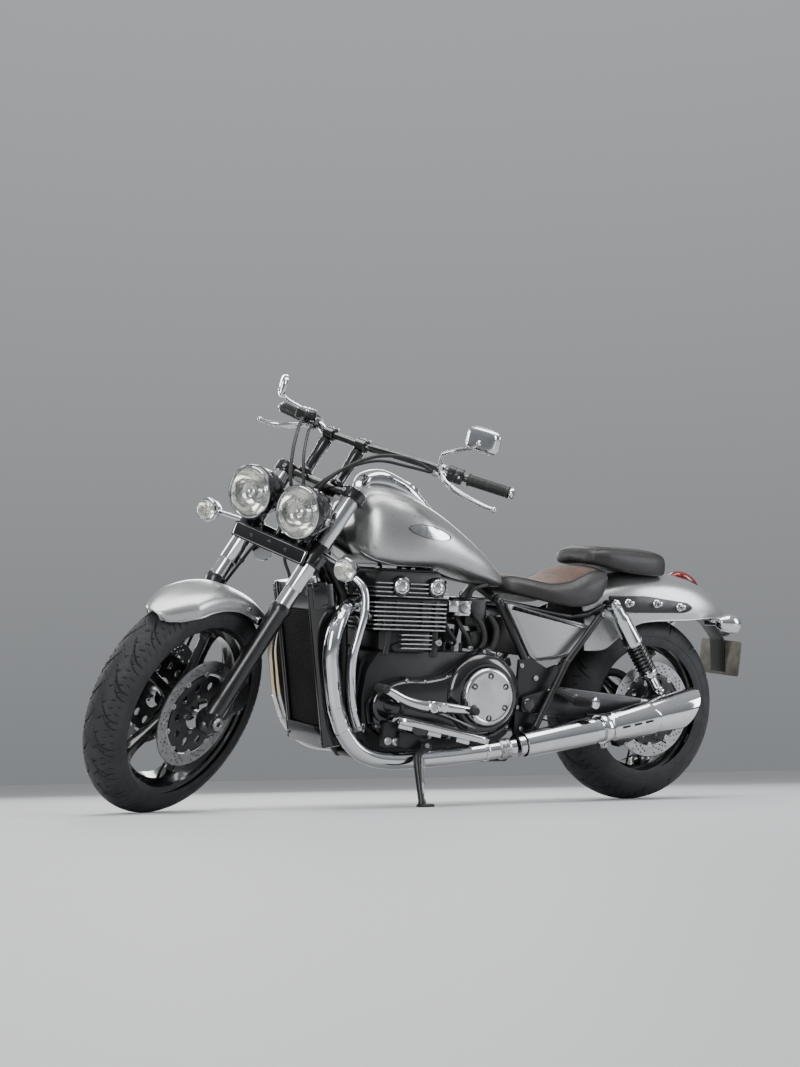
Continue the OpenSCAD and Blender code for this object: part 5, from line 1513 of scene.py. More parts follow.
axle.add(turned([(5, 171.4), (12, 171.4), (13, 170), (18.5, 169.4), (19.5, 167), (19.5, 164)], 40),
         move(0, 0, 311) @ ACROSS, 0, both=True)
axle.rod((520, -166, 330), (520, 166, 330), 16)
axle.add(turned([(0.01, 169.6), (9, 170), (17, 169), (20, 166), (21, 163.6)], 40),
         move(520, 0, 330) @ ACROSS, 1, both=True)
axle.make("rear_axle_set", "chassis", [STEEL, GLOSS], ("rear_axle",))


def belt_loop(r1, r2, n=60):
    """Open loop round both pulleys: list of (x, z)."""
    d = math.hypot(440, 332 - 311)
    b, g = math.atan2(332 - 311, 440), math.acos((r1 - r2) / d)
    first = [(r1 * cos(b + g + (2 * pi - 2 * g) * i / n), 311 + r1 * sin(b + g + (2 * pi - 2 * g) * i / n))
             for i in range(n + 1)]
    second = [(440 + r2 * cos(b - g + 2 * g * i / n), 332 + r2 * sin(b - g + 2 * g * i / n))
              for i in range(n + 1)]
    return first + second


belt = Shape()
outside, inside = belt_loop(113, 49), belt_loop(108.6, 44.6)
n = len(outside)
rings = [[(o[0], -128, o[1]), (o[0], -104, o[1]), (i[0], -104, i[1]), (i[0], -128, i[1])] for o,
         i in zip(outside, inside)]
pts, faces = loft(rings, False)
faces += [((n - 1) * 4 + j, (n - 1) * 4 + (j + 1) % 4, (j + 1) % 4, j) for j in range(4)]
belt.add((pts, faces))
rib_path = [(a[0], a[1], b[0], b[1]) for a, b in zip(belt_loop(114, 50), belt_loop(112.9, 48.9))]
for y in (-124, -119.3, -112.7, -108):
    ring = [[(x0, y - 0.9, z0), (x0, y + 0.9, z0), (x1, y + 0.9, z1), (x1, y - 0.9, z1)] for x0, z0, x1,
            z1 in rib_path]
    p2, f2 = loft(ring, False)
    f2 += [((n - 1) * 4 + j, (n - 1) * 4 + (j + 1) % 4, (j + 1) % 4, j) for j in range(4)]
    belt.add((p2, f2))
belt.make("drive_belt_loop", "chassis", [RUBBER], ("drive_belt",))


def caliper_body(shape, at, w, depth, h, gap, finishes=(0, 1)):
    """Two-piece caliper astride a disc, local Z outwards along the radius."""
    for sign in (1, -1):
        t = w / 2 - gap / 2
        y = sign * (gap / 2 + t / 2)
        o = rounded([(-depth / 2, -h / 2), (depth / 2, -h / 2), (depth / 2 - 8, h / 2),
                     (-depth / 2 + 8, h / 2)], 12, 5)
        g = moved(slab(o, t, 3), move(0, 0, -t / 2))
        shape.add(moved(g, move(0, y, 0) @ turn("X", 90)), at, finishes[0])
        for x in (-depth * 0.24, depth * 0.24):
            shape.add(turned([(0.01, 5), (9, 5), (12, 4), (15, 2), (16, -1)], 32),
                      at @ move(x, sign * (w / 2 - 1), -h * 0.1) @ turn("X", -90 * sign), finishes[0])
            shape.add(moved(bolt(5.5, 5), move(0, 0, 0)),
                      at @ move(x * 1.75, sign * (w / 2 - 0.5), h * 0.22) @ turn("X", -90 * sign),
                      finishes[1])
    shape.add(box(depth - 16, w, 13, 3, 5), at @ move(0, 0, h / 2 - 5), finishes[0])
    shape.rod(tuple(at @ Vector((-depth / 2 + 14, 0, h / 2 + 1))),
              tuple(at @ Vector((-depth / 2 + 14, 0, h / 2 + 10))), 4.5, 3, finish=finishes[1])


brake = Shape()
hub = move(0, 112, 311) @ turn("Y", 118)
caliper_body(brake, hub @ move(0, 2, 136), 42, 100, 84, 16.6)
brake.add(slab(rounded([(-16, 18), (16, 18), (24, 60), (20, 98), (-20, 98), (-24, 60)], 8), 7, 1.4),
          hub @ Matrix(((1, 0, 0, 0), (0, 0, 1, 15.5), (0, 1, 0, 0), (0, 0, 0, 1))), 1)
brake.add(tube([(-60, 124, 200), (20, 150, 232), (150, 166, 286), (300, 168, 300)], 3.2, 10, 6), None, 2)
brake.make("rear_brake_caliper", "chassis", [SATIN, STEEL, RUBBER], ("rear_caliper",))

# %% [markdown]
# ## Rear end
# The tail light, cone-shaped indicators and the plate bracket close the fender. The plate is
# blank. Bright shouldered studs on the strut plates are the docking points for luggage.

# %% Struts, lights and plate
strut = Shape()
strut.plate([[215, 676], [60, 680], [-118, 663], [-140, 646], [-111, 630], [110, 624], [192, 632]], 129,
            136, edge=2, corner=16, both=True)
for x, z in ((133, 654), (17, 656), (-81, 648)):
    strut.add(turned([(14, -1), (14, 1), (12.4, 3), (11, 3.4), (11, 9), (9, 10), (8, 10.6), (8, 20),
                      (7, 22), (4.4, 22.4), (4, 20), (0.01, 20)], 40), move(x, 136, z) @ ACROSS, 1,
                      both=True)
strut.make("fender_strut_pair", "chassis", [SATIN, CHROME], ("fender_struts",))

TAIL = [[-150, 14, 747, 756, 747, 0.3], [-170, 26, 740, 766, 748, 0.3], [-205, 32, 728, 764, 742, 0.3],
        [-240, 28, 712, 746, 724, 0.3], [-264, 14, 700, 722, 708, 0.3]]
tail = Shape()
tail.add(loft(round_end(round_end(body_rings(TAIL, 8, 48, 0.9, 0.9), bulge=6), bulge=5, sign=-1)), None, 0)
for s in between(TAIL, 3)[2:-2]:
    tail.add(tube([(s[0], s[1] * 1.005 * cos(a), s[2] + (s[3] - s[2]) * (0.3 + 0.7 * sin(a)) + 0.2)
                   for a in np.linspace(0.25, pi - 0.25, 14)], 0.7, 6, 2), None, 0)
tail.add(loft([[(x + dx, y * k, z - 2) for x, y,
                z in [(q[0], q[1], q[2]) for q in body_rings(TAIL, 1, 48, 0.9, 0.9)[i]]] for i, k,
                dx in ((0, 1.18, 6), (1, 1.12, 2), (2, 1.1, 0), (3, 1.12, -2), (4, 1.25, -6))]),
         move(0, 0, -9), 1)
tail.make("tail_light_unit", "chassis", [RED, PLASTIC], ("tail_light",))

rear_lamp = Shape()
rear_lamp.rod((-228, 98, 600), (-238, 152, 600), 9.5, 8, both=True)
rear_lamp.add(turned([(0.01, 0), (12, 0), (17, 3), (22, 12), (29, 30), (32.4, 42), (33, 50), (33, 70),
                      (31.6, 72.6), (30, 72.8), (29.4, 70), (29.4, 60)], 56),
              move(-222, 166, 602) @ turn("Y", -90), 0, both=True)
rear_lamp.add(turned([(0.01, 58), (15, 61), (29, 70), (30, 74), (27, 77), (15, 80), (0.01, 81)], 48),
              move(-222, 166, 602) @ turn("Y", -90), 1, both=True)
for r in (8, 15, 22):
    rear_lamp.add(turned([(r - 1.4, 79.6 - r * 0.12), (r, 81.2 - r * 0.14), (r + 1.4, 79.3 - r * 0.14)],
                         40), move(-222, 166, 602) @ turn("Y", -90), 1, both=True)
rear_lamp.add(turned([(0.01, 50), (8, 52), (20, 60), (29, 69.4)], 40),
              move(-222, 166, 602) @ turn("Y", -90), 2, both=True)
rear_lamp.add(ball(6.5, 16), move(-284, 166, 602), 3, both=True)
rear_lamp.make("rear_indicator_pair", "chassis", [CHROME, CLEAR, REFLECTOR, BULB], ("rear_indicators",),
               crease=32)

holder = Shape()
holder.plate([[-254, 640], [-330, 600], [-374, 540], [-382, 430], [-376, 428], [-364, 540], [-318, 588],
              [-248, 626]], -34, 34, edge=2, corner=10)
holder.add(slab(rounded([(-100, 0), (100, 0), (100, 114), (-100, 114)], 9, 5), 2, 0.7),
           move(-384, 0, 421) @ turn("Y", -4)
           @ Matrix(((0, 0, 1, 0), (1, 0, 0, 0), (0, 1, 0, 0), (0, 0, 0, 1))), 1)
holder.add(slab(rounded([(-103, -3), (103, -3), (103, 117), (-103, 117)], 10, 5), 3, 1),
           move(-381.6, 0, 421) @ turn("Y", -4)
           @ Matrix(((0, 0, 1, 0), (1, 0, 0, 0), (0, 1, 0, 0), (0, 0, 0, 1))), 3)
for sy in (-62, 62):
    holder.add(moved(bolt(4, 2.5), turn("Y", -90)), move(-386.6, sy, 518), 2)
holder.add(tube([(-372, -26, 566), (-392, -26, 562), (-400, 0, 556), (-392, 26, 562), (-372, 26, 566)], 7,
                12, 5), None, 0)
holder.make("plate_bracket", "chassis", [PLASTIC, PLATE, STEEL, PLATE_BACK], ("plate_holder",))
print("rear end built")

# %% [markdown]
# ## Front end
# Everything here turns with the bars. The fork sits along the steering axis, so its parts are
# turned profiles placed on that axis: semi-gloss black sliders below, chrome sleeves above, and two
# yokes that clamp them.

# %% Fork, yokes and axle
fork = Shape()
LEG = STEM @ move(FORK_X, 124, 0)
z0 = AXLE_Z
fork.add(turned([(0.01, z0 - 38), (20, z0 - 38), (23, z0 - 34), (27, z0 - 28), (28, z0 - 20), (28, z0 + 60),
                 (27, z0 + 64), (26.4, z0 + 120), (26.4, z0 + 300),
                 (27.6, z0 + 306), (28.2, z0 + 350), (30, z0 + 356), (30.6, z0 + 360), (30.6, z0 + 374),
                 (29.4, z0 + 377), (26, z0 + 378)], 56), LEG, 0, both=True)
fork.add(turned([(24.2, z0 + 374), (24.2, z0 + 430), (25.6, z0 + 431), (27.4, z0 + 434), (27.4, z0 + 776),
                 (25.8, z0 + 778), (22, z0 + 778)], 56), LEG, 1, both=True)
fork.add(turned([(0.01, z0 + 786), (10, z0 + 786), (11, z0 + 783), (19, z0 + 782), (20, z0 + 780),
                 (20, z0 + 774)], 6), LEG, 1, both=True)
# pinch clamp round the axle, with its bolt; the split is a thin dark sheet of painted shade
lug = LEG @ move(0, 0, z0)
fork.add(turned([(13, -27), (27, -27), (30, -24), (30.5, 0), (30, 24), (27, 27), (13, 27)], 44,
                closed=True), lug @ turn("X", 90), 0, both=True)
fork.add(box(26, 34, 40, 5, 7), lug @ move(-26, 0, -12), 0, both=True)
fork.add(box(30, 36, 2.2, 0.4, 1), lug @ move(-28, 0, -14), 3, both=True)
fork.add(moved(bolt(6, 6), move(0, 0, 8)), lug @ move(-32, 0, 2), 2, both=True)
fork.add(box(16, 16, 70, 4, 5), LEG @ move(-24, -10, z0 + 96), 0, both=True)
for dz in (62, 132):
    fork.add(moved(bolt(6.5, 8), turn("X", -90)), LEG @ move(-26, -2, z0 + dz), 2, both=True)
fork.add(box(20, 14, 46, 3, 5), LEG @ move(-20, -24, z0 + 236), 0, both=True)
fork.make("fork_leg_pair", "steering", [SLIDER_LACQUER, CHROME, STEEL, DARK], ("fork_legs",), crease=38)

spindle = Shape()
spindle.add(turned([(7, -157), (12, -156), (12, 156), (7, 157)], 40, closed=True), FRONT_HUB @ ACROSS, 0)
for side_no in (1, -1):
    spindle.add(turned([(7.5, 151.4), (18, 151.4), (19, 153), (18, 158.6), (16, 159.6), (10, 159.6),
                        (9, 156)], 6 if side_no < 0 else 40), FRONT_HUB @ turn("X", -90 * side_no), 0)
spindle.make("front_spindle", "steering", [STEEL], ("front_axle",))

low_yoke = Shape()
plan = [(60, -112), (66, -60), (60, 0), (66, 60), (60, 112), (20, 112), (4, 60), (-30, 36), (-38, 0),
        (-30, -36), (4, -60), (20, -112)]
low_yoke.add(slab(rounded(plan, 16, 5), 44, 5), STEM @ move(0, 0, 884), 0)
ring_clamp = lambda h: turned([(27.2, 0), (33, 0), (36, 3), (36.4, 10), (36.4, h - 10), (36, h - 3),
                               (33, h), (27.2, h)], 56, closed=True)
low_yoke.add(ring_clamp(72), STEM @ move(FORK_X, 124, 868), 0, both=True)
low_yoke.add(turned([(12, 884), (36, 884), (38, 888), (38, 940), (34, 946), (12, 946)], 48), STEM, 0)
low_yoke.add(turned([(0.01, 876), (14, 877), (16, 884)], 32), STEM, 1)
low_yoke.add(turned([(12, 940), (12, 1102)], 32), STEM, 1)
for dz in (882, 926):
    low_yoke.add(box(26, 20, 16, 3, 4), STEM @ move(FORK_X - 8, 90, dz), 0, both=True)
    low_yoke.add(moved(bolt(6.5, 6), turn("X", -90)), STEM @ move(FORK_X + 34, 104, dz) @ turn("Z", -90), 1,
                 both=True)
low_yoke.make("lower_yoke_casting", "steering", [GLOSS, STEEL], ("bottom_yoke",))

up_yoke = Shape()
up_yoke.add(slab(rounded(plan, 16, 5), 22, 4), STEM @ move(0, 0, 1101), 0)
up_yoke.add(ring_clamp(34), STEM @ move(FORK_X, 124, 1098), 0, both=True)
up_yoke.add(turned([(0.01, 1140), (12, 1139), (17, 1136), (19, 1130), (19, 1122), (24, 1122), (25, 1126)],
                   6), STEM, 1)
up_yoke.add(turned([(0.01, 1143), (12, 1142), (13, 1138)], 32), STEM, 1)
up_yoke.add(moved(bolt(6, 6), turn("X", 90)), STEM @ move(FORK_X + 36, 112, 1112) @ turn("Z", 90), 1,
            both=True)
up_yoke.make("upper_yoke_casting", "steering", [GLOSS, STEEL], ("top_yoke",))

# %% Front calipers
brakes = Shape()
for side_no in (1, -1):
    at = FRONT_HUB @ Matrix.Scale(side_no, 4, (0, 1, 0)) @ move(0, 77, 0) @ turn("Y", -78)
    caliper_body(brakes, at @ move(0, 1, 134), 40, 104, 84, 16.6)
    brakes.add(slab(rounded([(-40, 0), (40, 0), (30, 50), (-30, 50)], 8), 9, 2),
               at @ move(0, 17, 150) @ turn("X", 90) @ move(0, 0, 0), 0)
brakes.make("front_brake_calipers", "steering", [SATIN, STEEL], ("front_calipers",))

# %% [markdown]
# ## Headlamps and indicators
# A lamp is a painted bowl, a chrome rim, a faceted mirror and a clear lens. The facets are what
# break the reflection into bright shards, so the mirror is built with them.

# %% Twin headlamps
lamps = Shape()


def facet_bowl(r, depth, rings_n=5, around=22):
    """Concave mirror made of flat facets, each tipped a little its own way."""
    pts, faces = [], []
    rng = np.random.default_rng(7)
    for i in range(rings_n + 1):
        rr = 15 + (r - 15) * i / rings_n
        for j in range(around):
            a = 2 * pi * (j + 0.5 * (i % 2)) / around
            pts.append((rr * cos(a), rr * sin(a),
                        depth * (rr / r) ** 2 + rng.uniform(-0.5, 0.5) * (0 < i < rings_n)))
    for i in range(rings_n):
        for j in range(around):
            a, b = i * around + j, i * around + (j + 1) % around
            c, d = (i + 1) * around + (j + 1) % around, (i + 1) * around + j
            faces += [(a, b, c), (a, c, d)]
    return pts, faces


LAMP = move(1300, 90, 913) @ turn("Y", 90)
lamps.add(turned([(0.01, 0), (20, 0), (34, 2), (46, 9), (57, 22), (65, 40), (70, 60), (73, 84), (76, 88)],
                 84), LAMP, 0, both=True)
lamps.add(turned([(74, 84), (77, 86), (78.6, 91), (78.9, 100), (78.4, 107), (76.4, 112), (74.4, 113.4)],
                 96), LAMP, 0, both=True)
lamps.add(turned([(74.6, 113.2), (73, 115.4), (70.6, 115.8), (69, 114), (68.6, 104)], 96), LAMP, 1,
          both=True)
lamps.add(turned([(73, 86), (75, 88), (75.6, 96), (73, 100), (70, 96)], 96), LAMP, 0, both=True)
lamps.add(moved(facet_bowl(69, 50), move(0, 0, 56)), LAMP, 2, both=True)
lamps.add(turned([(17, 57), (15, 66), (13, 70), (12.4, 82), (10, 87), (5, 89), (0.01, 89.6)], 60), LAMP, 1,
          both=True)
lamps.add(turned([(0.01, 58), (16, 59)], 40), LAMP, 2, both=True)
lens_out = [(68.8, 110), (60, 117.6), (46, 123.4), (30, 127.6), (14, 129.8), (0.01, 130.4)]
lens_in = [(r * 0.99, h - 1.6) for r, h in lens_out][::-1]
lamps.add(turned(lens_out + lens_in, 84), LAMP, 3, both=True)
# adjusters, the bar that carries both lamps, and the stay to the lower yoke
lamps.add(box(24, 180, 20, 4, 5), move(1311, 0, 877), 0)
lamps.add(box(14, 40, 44, 3, 4), move(1323, 0, 858), 0)
lamps.add(box(28, 34, 32, 4, 7), move(1320, 74, 888), 0, both=True)
lamps.add(turned([(0.01, -3), (11, -3), (12.5, 0), (11, 4), (6, 5), (0.01, 5)], 36),
          move(1364, 165, 906) @ ACROSS, 4, both=True)
lamps.add(tube([(1360, 166, 906), (1330, 158, 900), (1306, 130, 890), (1302, 104, 884)], 7, 28, 6), None, 0,
          both=True)
lamps.make("headlamp_pair", "steering", [GLOSS, CHROME, REFLECTOR, CLEAR, STEEL], ("headlights",),
           crease=15)

# %% Front indicators and the blank name board
front_lamp = Shape()
front_lamp.add(tube([(1322, 128, 806), (1330, 164, 806), (1336, 236, 802)], 7.4, 16, 5), None, 0, both=True)
bulb_at = move(1312, 260, 801) @ turn("Y", 90)
front_lamp.add(turned([(0.01, 0), (9, 1), (18, 7), (26, 20), (31, 36), (34.6, 42), (35.4, 47), (35.4, 54),
                       (33.6, 57), (31, 57.4), (30, 55)], 56), bulb_at, 0, both=True)
front_lamp.add(turned([(0.01, 26), (7, 27), (18, 36), (30, 54)], 24), bulb_at, 1, both=True)
front_lamp.add(turned([(30.6, 55), (29.6, 61), (25, 67), (16, 71.4), (8, 73), (0.01, 73.6)], 56), bulb_at,
               2, both=True)
for r, h in ((7, 73.6), (13, 72.6), (19, 70.6), (25, 67.4)):
    front_lamp.add(turned([(r - 1.6, h - 0.4), (r, h + 0.9), (r + 1.4, h - 1.0)], 48), bulb_at, 2,
                   both=True)
front_lamp.add(ball(6.5, 16), bulb_at @ move(0, 0, 44), 3, both=True)
front_lamp.make("front_indicator_pair", "steering", [CHROME, REFLECTOR, CLEAR, BULB], ("front_indicators",),
                crease=30)

board = Shape()
face = move(1386, 0, 768) @ turn("Y", -14)
upright = Matrix(((0, 0, 1, 0), (1, 0, 0, 0), (0, 1, 0, 0), (0, 0, 0, 1)))
board.add(slab(rounded([(-135, 0), (135, 0), (135, 46), (-135, 46)], 9, 6), 4, 1.2), face @ upright, 0)
frame_line = [(-129, 5), (129, 5), (129, 41), (-129, 41)]
loop = rounded(frame_line, 7, 6)
board.add(tube([(4.1, a, b) for a, b in loop + loop[:1]], 1.1, 8, 1), face, 1)
board.add(moved(bolt(3.4, 2), turn("Y", 90)), face @ move(3.8, 64, 23), 2, both=True)
board.rod((1340, 64, 802), (1387, 64, 790), 6.5, finish=0, both=True)
board.add(tube([(1344, 0, 852), (1352, 0, 820), (1368, 0, 800), (1384, 0, 792)], 8, 12, 5), None, 0)
# chrome horn below the board
board.add(turned([(0.01, 0), (16, 2), (24, 8), (30, 12), (37, 15), (39, 18), (37, 21), (30, 20), (12, 17),
                  (0.01, 17)], 56), move(1338, -34, 760) @ turn("Y", 82), 1)
board.make("front_name_board", "steering", [GLOSS, CHROME, STEEL], ("front_plate",))

# %% [markdown]
# ## Bars and controls
# The bar is bent tube with cross-bolted risers. Grips are moulded with rings, the levers are cast
# alloy, and each mirror stands on its own bent stem.

# %% Handlebar, risers and grips
BAR = [(1137, 0, 1104), (1137, 60, 1104), (1120, 96, 1104), (1060, 150, 1100), (985, 216, 1092),
       (940, 270, 1086), (914, 330, 1083), (880, 440, 1083)]
bar = Shape()
whole = [(x, -y, z) for x, y, z in BAR[:0:-1]] + BAR
bar.add(tube(whole, 11.2, 28, 8), None, 0)
RISER = STEM @ move(FORK_X + 6, 60, 0)
bar.add(turned([(22, 1123), (23, 1125), (22.6, 1133), (18, 1137), (16.4, 1142), (16, 1190), (17, 1216),
                (19, 1226), (19, 1246), (16, 1248), (0.01, 1248)], 44), RISER, 0, both=True)
bar.add(turned([(0.01, -18), (17, -18), (19.6, -15), (19.6, 15), (17, 18), (0.01, 18)], 40),
        move(1137, 60, 1104) @ ACROSS, 0, both=True)
for dx in (-12, 12):
    bar.add(moved(bolt(4.5, 5), turn("Y", -32)),
            move(1137 + dx * 0.9, 60, 1104) @ turn("Y", -32) @ move(0, 10, 17) , 1, both=True)
    bar.add(moved(bolt(4.5, 5), turn("Y", -32)),
            move(1137 + dx * 0.9, 60, 1104) @ turn("Y", -32) @ move(0, -10, 17), 1, both=True)
bar.make("handlebar_tube", "steering", [GLOSS, STEEL], ("handlebar",), crease=40)

grip = Shape()
g0, g1 = Vector((919, 314, 1083.1)), Vector((880.4, 438, 1083))
along = aim(g0, g1)
glen = (g1 - g0).length
profile = [(11.6, 0), (19, 0), (20, 1.6), (19.6, 4), (17, 6)]
for k in range(26):
    z = 9 + k * (glen - 18) / 26
    profile += [(17.2, z), (17.2, z + 2.2), (16.1, z + 2.8), (16.1, z + 3.9)]
profile += [(17.2, glen - 7), (17.8, glen - 4), (17.8, glen - 1), (16, glen), (11.6, glen)]
grip.add(turned(profile, 36), along, 0, both=True)
grip.add(turned([(0.01, glen + 2), (15, glen + 2), (16.4, glen + 4), (16.4, glen + 12), (14.6, glen + 15),
                 (9, glen + 16), (0.01, glen + 16)], 36), along, 1, both=True)
grip.make("handgrip_pair", "steering", [RUBBER, CHROME], ("grips",), crease=40)

# %% Switch pods, levers and reservoir
pods = Shape()
p0, p1 = Vector((950, 256, 1087.4)), Vector((926, 302, 1084))
pod = aim(p0, p1)
pods.add(turned([(13, 0), (22, 0), (24.4, 3), (24.4, 22), (23.4, 24), (24.4, 26), (24.4, 46), (22, 50),
                 (13, 50)], 40), pod, 0, both=True)
for dz, r, mat in ((12, 5, 4), (26, 6, 4), (38, 4.5, 3)):
    pods.add(turned([(r, 20), (r, 28), (r - 1, 29.4), (0.01, 29.6)], 20),
             pod @ move(0, 0, dz) @ turn("Y", -90), mat, both=True)
pods.add(turned([(12, -4), (18, -4), (19, -2), (19, 16), (18, 18), (12, 18)], 36),
         aim((966, 236, 1090), (950, 256, 1087)), 1, both=True)
pods.rod((962, 262, 1084), (984, 262, 1080), 10, 9, finish=1, both=True)
pods.add(ball(13.5, 28), move(983, 262, 1080), 1, both=True)
pods.add(tube([(984, 262, 1079), (996, 284, 1068), (1001, 312, 1058), (994, 350, 1048), (984, 385, 1041),
               (977, 420, 1037), (972, 448, 1036)],
              [9.5, 9.5, 11.5, 11, 9.5, 7.8, 6.6], 24, 7, flat=0.72), None, 2, both=True)
pods.add(ball(9, 24), move(972, 452, 1036), 2, both=True)
pods.add(moved(bolt(6, 5), turn("X", 0)), move(983, 262, 1090), 3, both=True)
pods.add(slab(rounded([(-29, -24), (29, -24), (29, 24), (-29, 24)], 10, 5), 28, 4), move(1014, -252, 1096),
         0)
pods.add(slab(rounded([(-27, -22), (27, -22), (27, 22), (-27, 22)], 9, 5), 8, 2.5), move(1014, -252, 1123),
         1)
for dx, dy in ((-20, -15), (20, -15), (20, 15), (-20, 15)):
    pods.add(bolt(2.6, 1.6), move(1014 + dx, -252 + dy, 1130.4), 3)
pods.add(turned([(9, -1), (10, 0), (9, 1.4), (0.01, 1.6)], 28), move(1014, -227.5, 1110) @ ACROSS, 4)
pods.make("hand_control_pair", "steering", [SATIN, POLISHED, POLISHED, STEEL, PLASTIC], ("hand_controls",),
          crease=36)


# %% Mirrors
def mirror_head(shape, at, w, h):
    """Rounded chrome shell, a rim, and the glass sunk a little into it."""
    def ring(k, z, kw=0.0):
        return [(z, (w / 2 * k + kw) * power(cos(a), 0.5), (h / 2 * k + kw) * power(sin(a), 0.5))
                for a in np.linspace(0, 2 * pi, 72, endpoint=False)]
    shape.add(loft([ring(0.95, -1), ring(0.99, -0.6), ring(1.0, 1.5), ring(0.99, 6), ring(0.95, 10.5),
                    ring(0.86, 14.2), ring(0.7, 16.4), ring(0.45, 17.4), ring(0.05, 17.8)]), at, 0)
    shape.add(loft([ring(0.955, -1.2), ring(0.95, -0.2), ring(0.92, 0.2)], False), at, 0)
    shape.add(loft([ring(0.93, -1.4), ring(0.6, -1.2), ring(0.02, -1.1)]), at, 1)


glass = finish("silvered_mirror_glass", "#dfe4e8", "#d6dce1", 200, rough=0.03, rough_span=0.015,
               rough_mm=80, metal=1.0)
mirror = Shape()
mirror.add(tube([(978, 246, 1098), (988, 246, 1118), (1008, 262, 1146), (1036, 314, 1172),
                 (1046, 366, 1196), (1044, 386, 1214)], 5.4, 18, 8), None, 0)
mirror.add(tube([(978, -246, 1098), (992, -246, 1112), (1012, -262, 1124), (1014, -326, 1134),
                 (1004, -366, 1146), (995, -379, 1153)], 5.4, 18, 8), None, 0)
mirror_head(mirror, move(1034, 392, 1226) @ turn("Z", -8) @ turn("X", 4), 118, 71)
mirror_head(mirror, move(977, -383, 1166) @ turn("Z", -50) @ turn("X", 4), 118, 71)
for p in ((1047, 388, 1216), (997, -381, 1155)):
    mirror.add(ball(10, 28), move(*p), 0)
for sy in (1, -1):
    mirror.add(turned([(9, -4), (10.5, -3), (10.5, 6), (8, 9), (5.6, 10)], 6), move(978, 246 * sy, 1096), 0)
mirror.make("mirror_pair", "steering", [CHROME, glass], ("mirrors",), crease=35)

# %% Cables and hoses
lines = Shape()
HOSES = [([(1000, 250, 1078), (1090, 210, 1110), (1180, 150, 1100), (1250, 90, 1040), (1280, 50, 970),
           (1262, 30, 920)], 5.4),
         ([(965, 240, 1074), (1060, 190, 1082), (1150, 130, 1080), (1226, 70, 1030), (1262, 20, 960),
           (1258, 4, 915)], 4.8),
         ([(1020, -250, 1086), (1100, -200, 1110), (1190, -140, 1090), (1256, -90, 1030), (1286, -50, 960),
           (1268, -30, 915)], 5.4),
         ([(965, -240, 1074), (1060, -190, 1082), (1150, -130, 1080), (1226, -70, 1030), (1256, -24, 960),
           (1250, -10, 915)], 4.8)]
for path, r in HOSES:
    lines.add(tube(path, r, 16, 8), None, 0)
    for a, b in ((path[0], path[1]), (path[-1], path[-2])):
        lines.add(turned([(r, 0), (r + 2.4, 0), (r + 2.6, 2), (r + 2.6, 14), (r + 1, 18), (r, 20)], 20),
                  aim(a, b), 1)
BRAKE_LINE = [(1344, 34, 803), (1369, 58, 760), (1362, 92, 702), (1392, 118, 610), (1440, 116, 532),
              (1490, 108, 452), (1502, 98, 406)]
lines.add(tube(BRAKE_LINE, 4.5, 16, 8), None, 0, both=True)
for i in (2, 3, 4):
    lines.add(turned([(4.4, -5), (6.4, -5), (6.4, 5), (4.4, 5)], 20), aim(BRAKE_LINE[i], BRAKE_LINE[i + 1]),
              0, both=True)
lines.add(turned([(4, -4), (8, -4), (9, -2), (9, 3), (8, 5), (4, 5)], 24),
          aim(BRAKE_LINE[6], BRAKE_LINE[5]), 1, both=True)
lines.make("cables_and_hoses", "steering", [RUBBER, STEEL], ("control_cables",), crease=40)
print("front end built")

# %% [markdown]
# ## Frame, foot controls and stand
# The frame is welded tube. It keeps its CAD shape and takes satin enamel; welds, brackets and
# bolts are laid over it.

# %% Frame finish and its brackets
for paint_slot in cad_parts["frame"].material_slots:
    paint_slot.material = SATIN
weld = Shape()


def weld_ring(c, d, r):
    """A bead of small overlapping ripples where two tubes meet."""
    prof = [(r - 1, -2.4), (r + 1.6, -1.6), (r + 2.2, 0), (r + 1.6, 1.6), (r - 1, 2.4)]
    g = turned(prof, 40)
    wob = [(x * (1 + 0.012 * sin(i // len(prof) * 2.4)), y * (1 + 0.012 * sin(i // len(prof) * 2.4)), z)
           for i, (x, y, z) in enumerate(g[0])]
    weld.add((wob, g[1]), aim(c, tuple(np.array(c) + np.array(d))), 0)


for c, d, r in (((1200, 0, 847), (-1, 0, -0.5), 28), ((1085, 0, 790), (-1, 0, -0.17), 28.6)):
    weld_ring(c, d, r)
for sy in (1, -1):
    weld_ring((1219, 19 * sy, 833), (-0.46, 0.09 * sy, -0.88), 17)
    weld_ring((618, 92 * sy, 652), (-0.2, 0.9 * sy, -0.4), 14)
    weld.plate([[1100, 700], [1060, 716], [1040, 700], [1096, 640], [1108, 652]], 50 * sy - 3, 50 * sy + 3,
               edge=1, corner=8)
    weld.add(moved(bolt(8, 6), turn("X", -90 * sy)), move(1112, 58 * sy, 300), 1)
    weld.add(moved(bolt(9, 7, False), turn("X", -90 * sy)), move(484, 140 * sy, 410), 1)
    weld.add(moved(bolt(8, 6, False), turn("X", -90 * sy)), move(538, 140 * sy, 448), 1)
    weld.add(moved(bolt(8, 6, False), turn("X", -90 * sy)), move(530, 140 * sy, 254), 1)
    weld.rod((258, 156 * sy, 616), (258, 172 * sy, 616), 12, finish=0)
    weld.add(moved(bolt(7, 5), turn("X", -90 * sy)), move(258, 171 * sy, 616), 1)
# battery and tool box behind the side covers, seen from below and between the tubes
weld.add(box(170, 190, 118, 8, 12), move(420, 0, 532), 2)
weld.make("frame_brackets", "chassis", [SATIN, STEEL, PLASTIC])

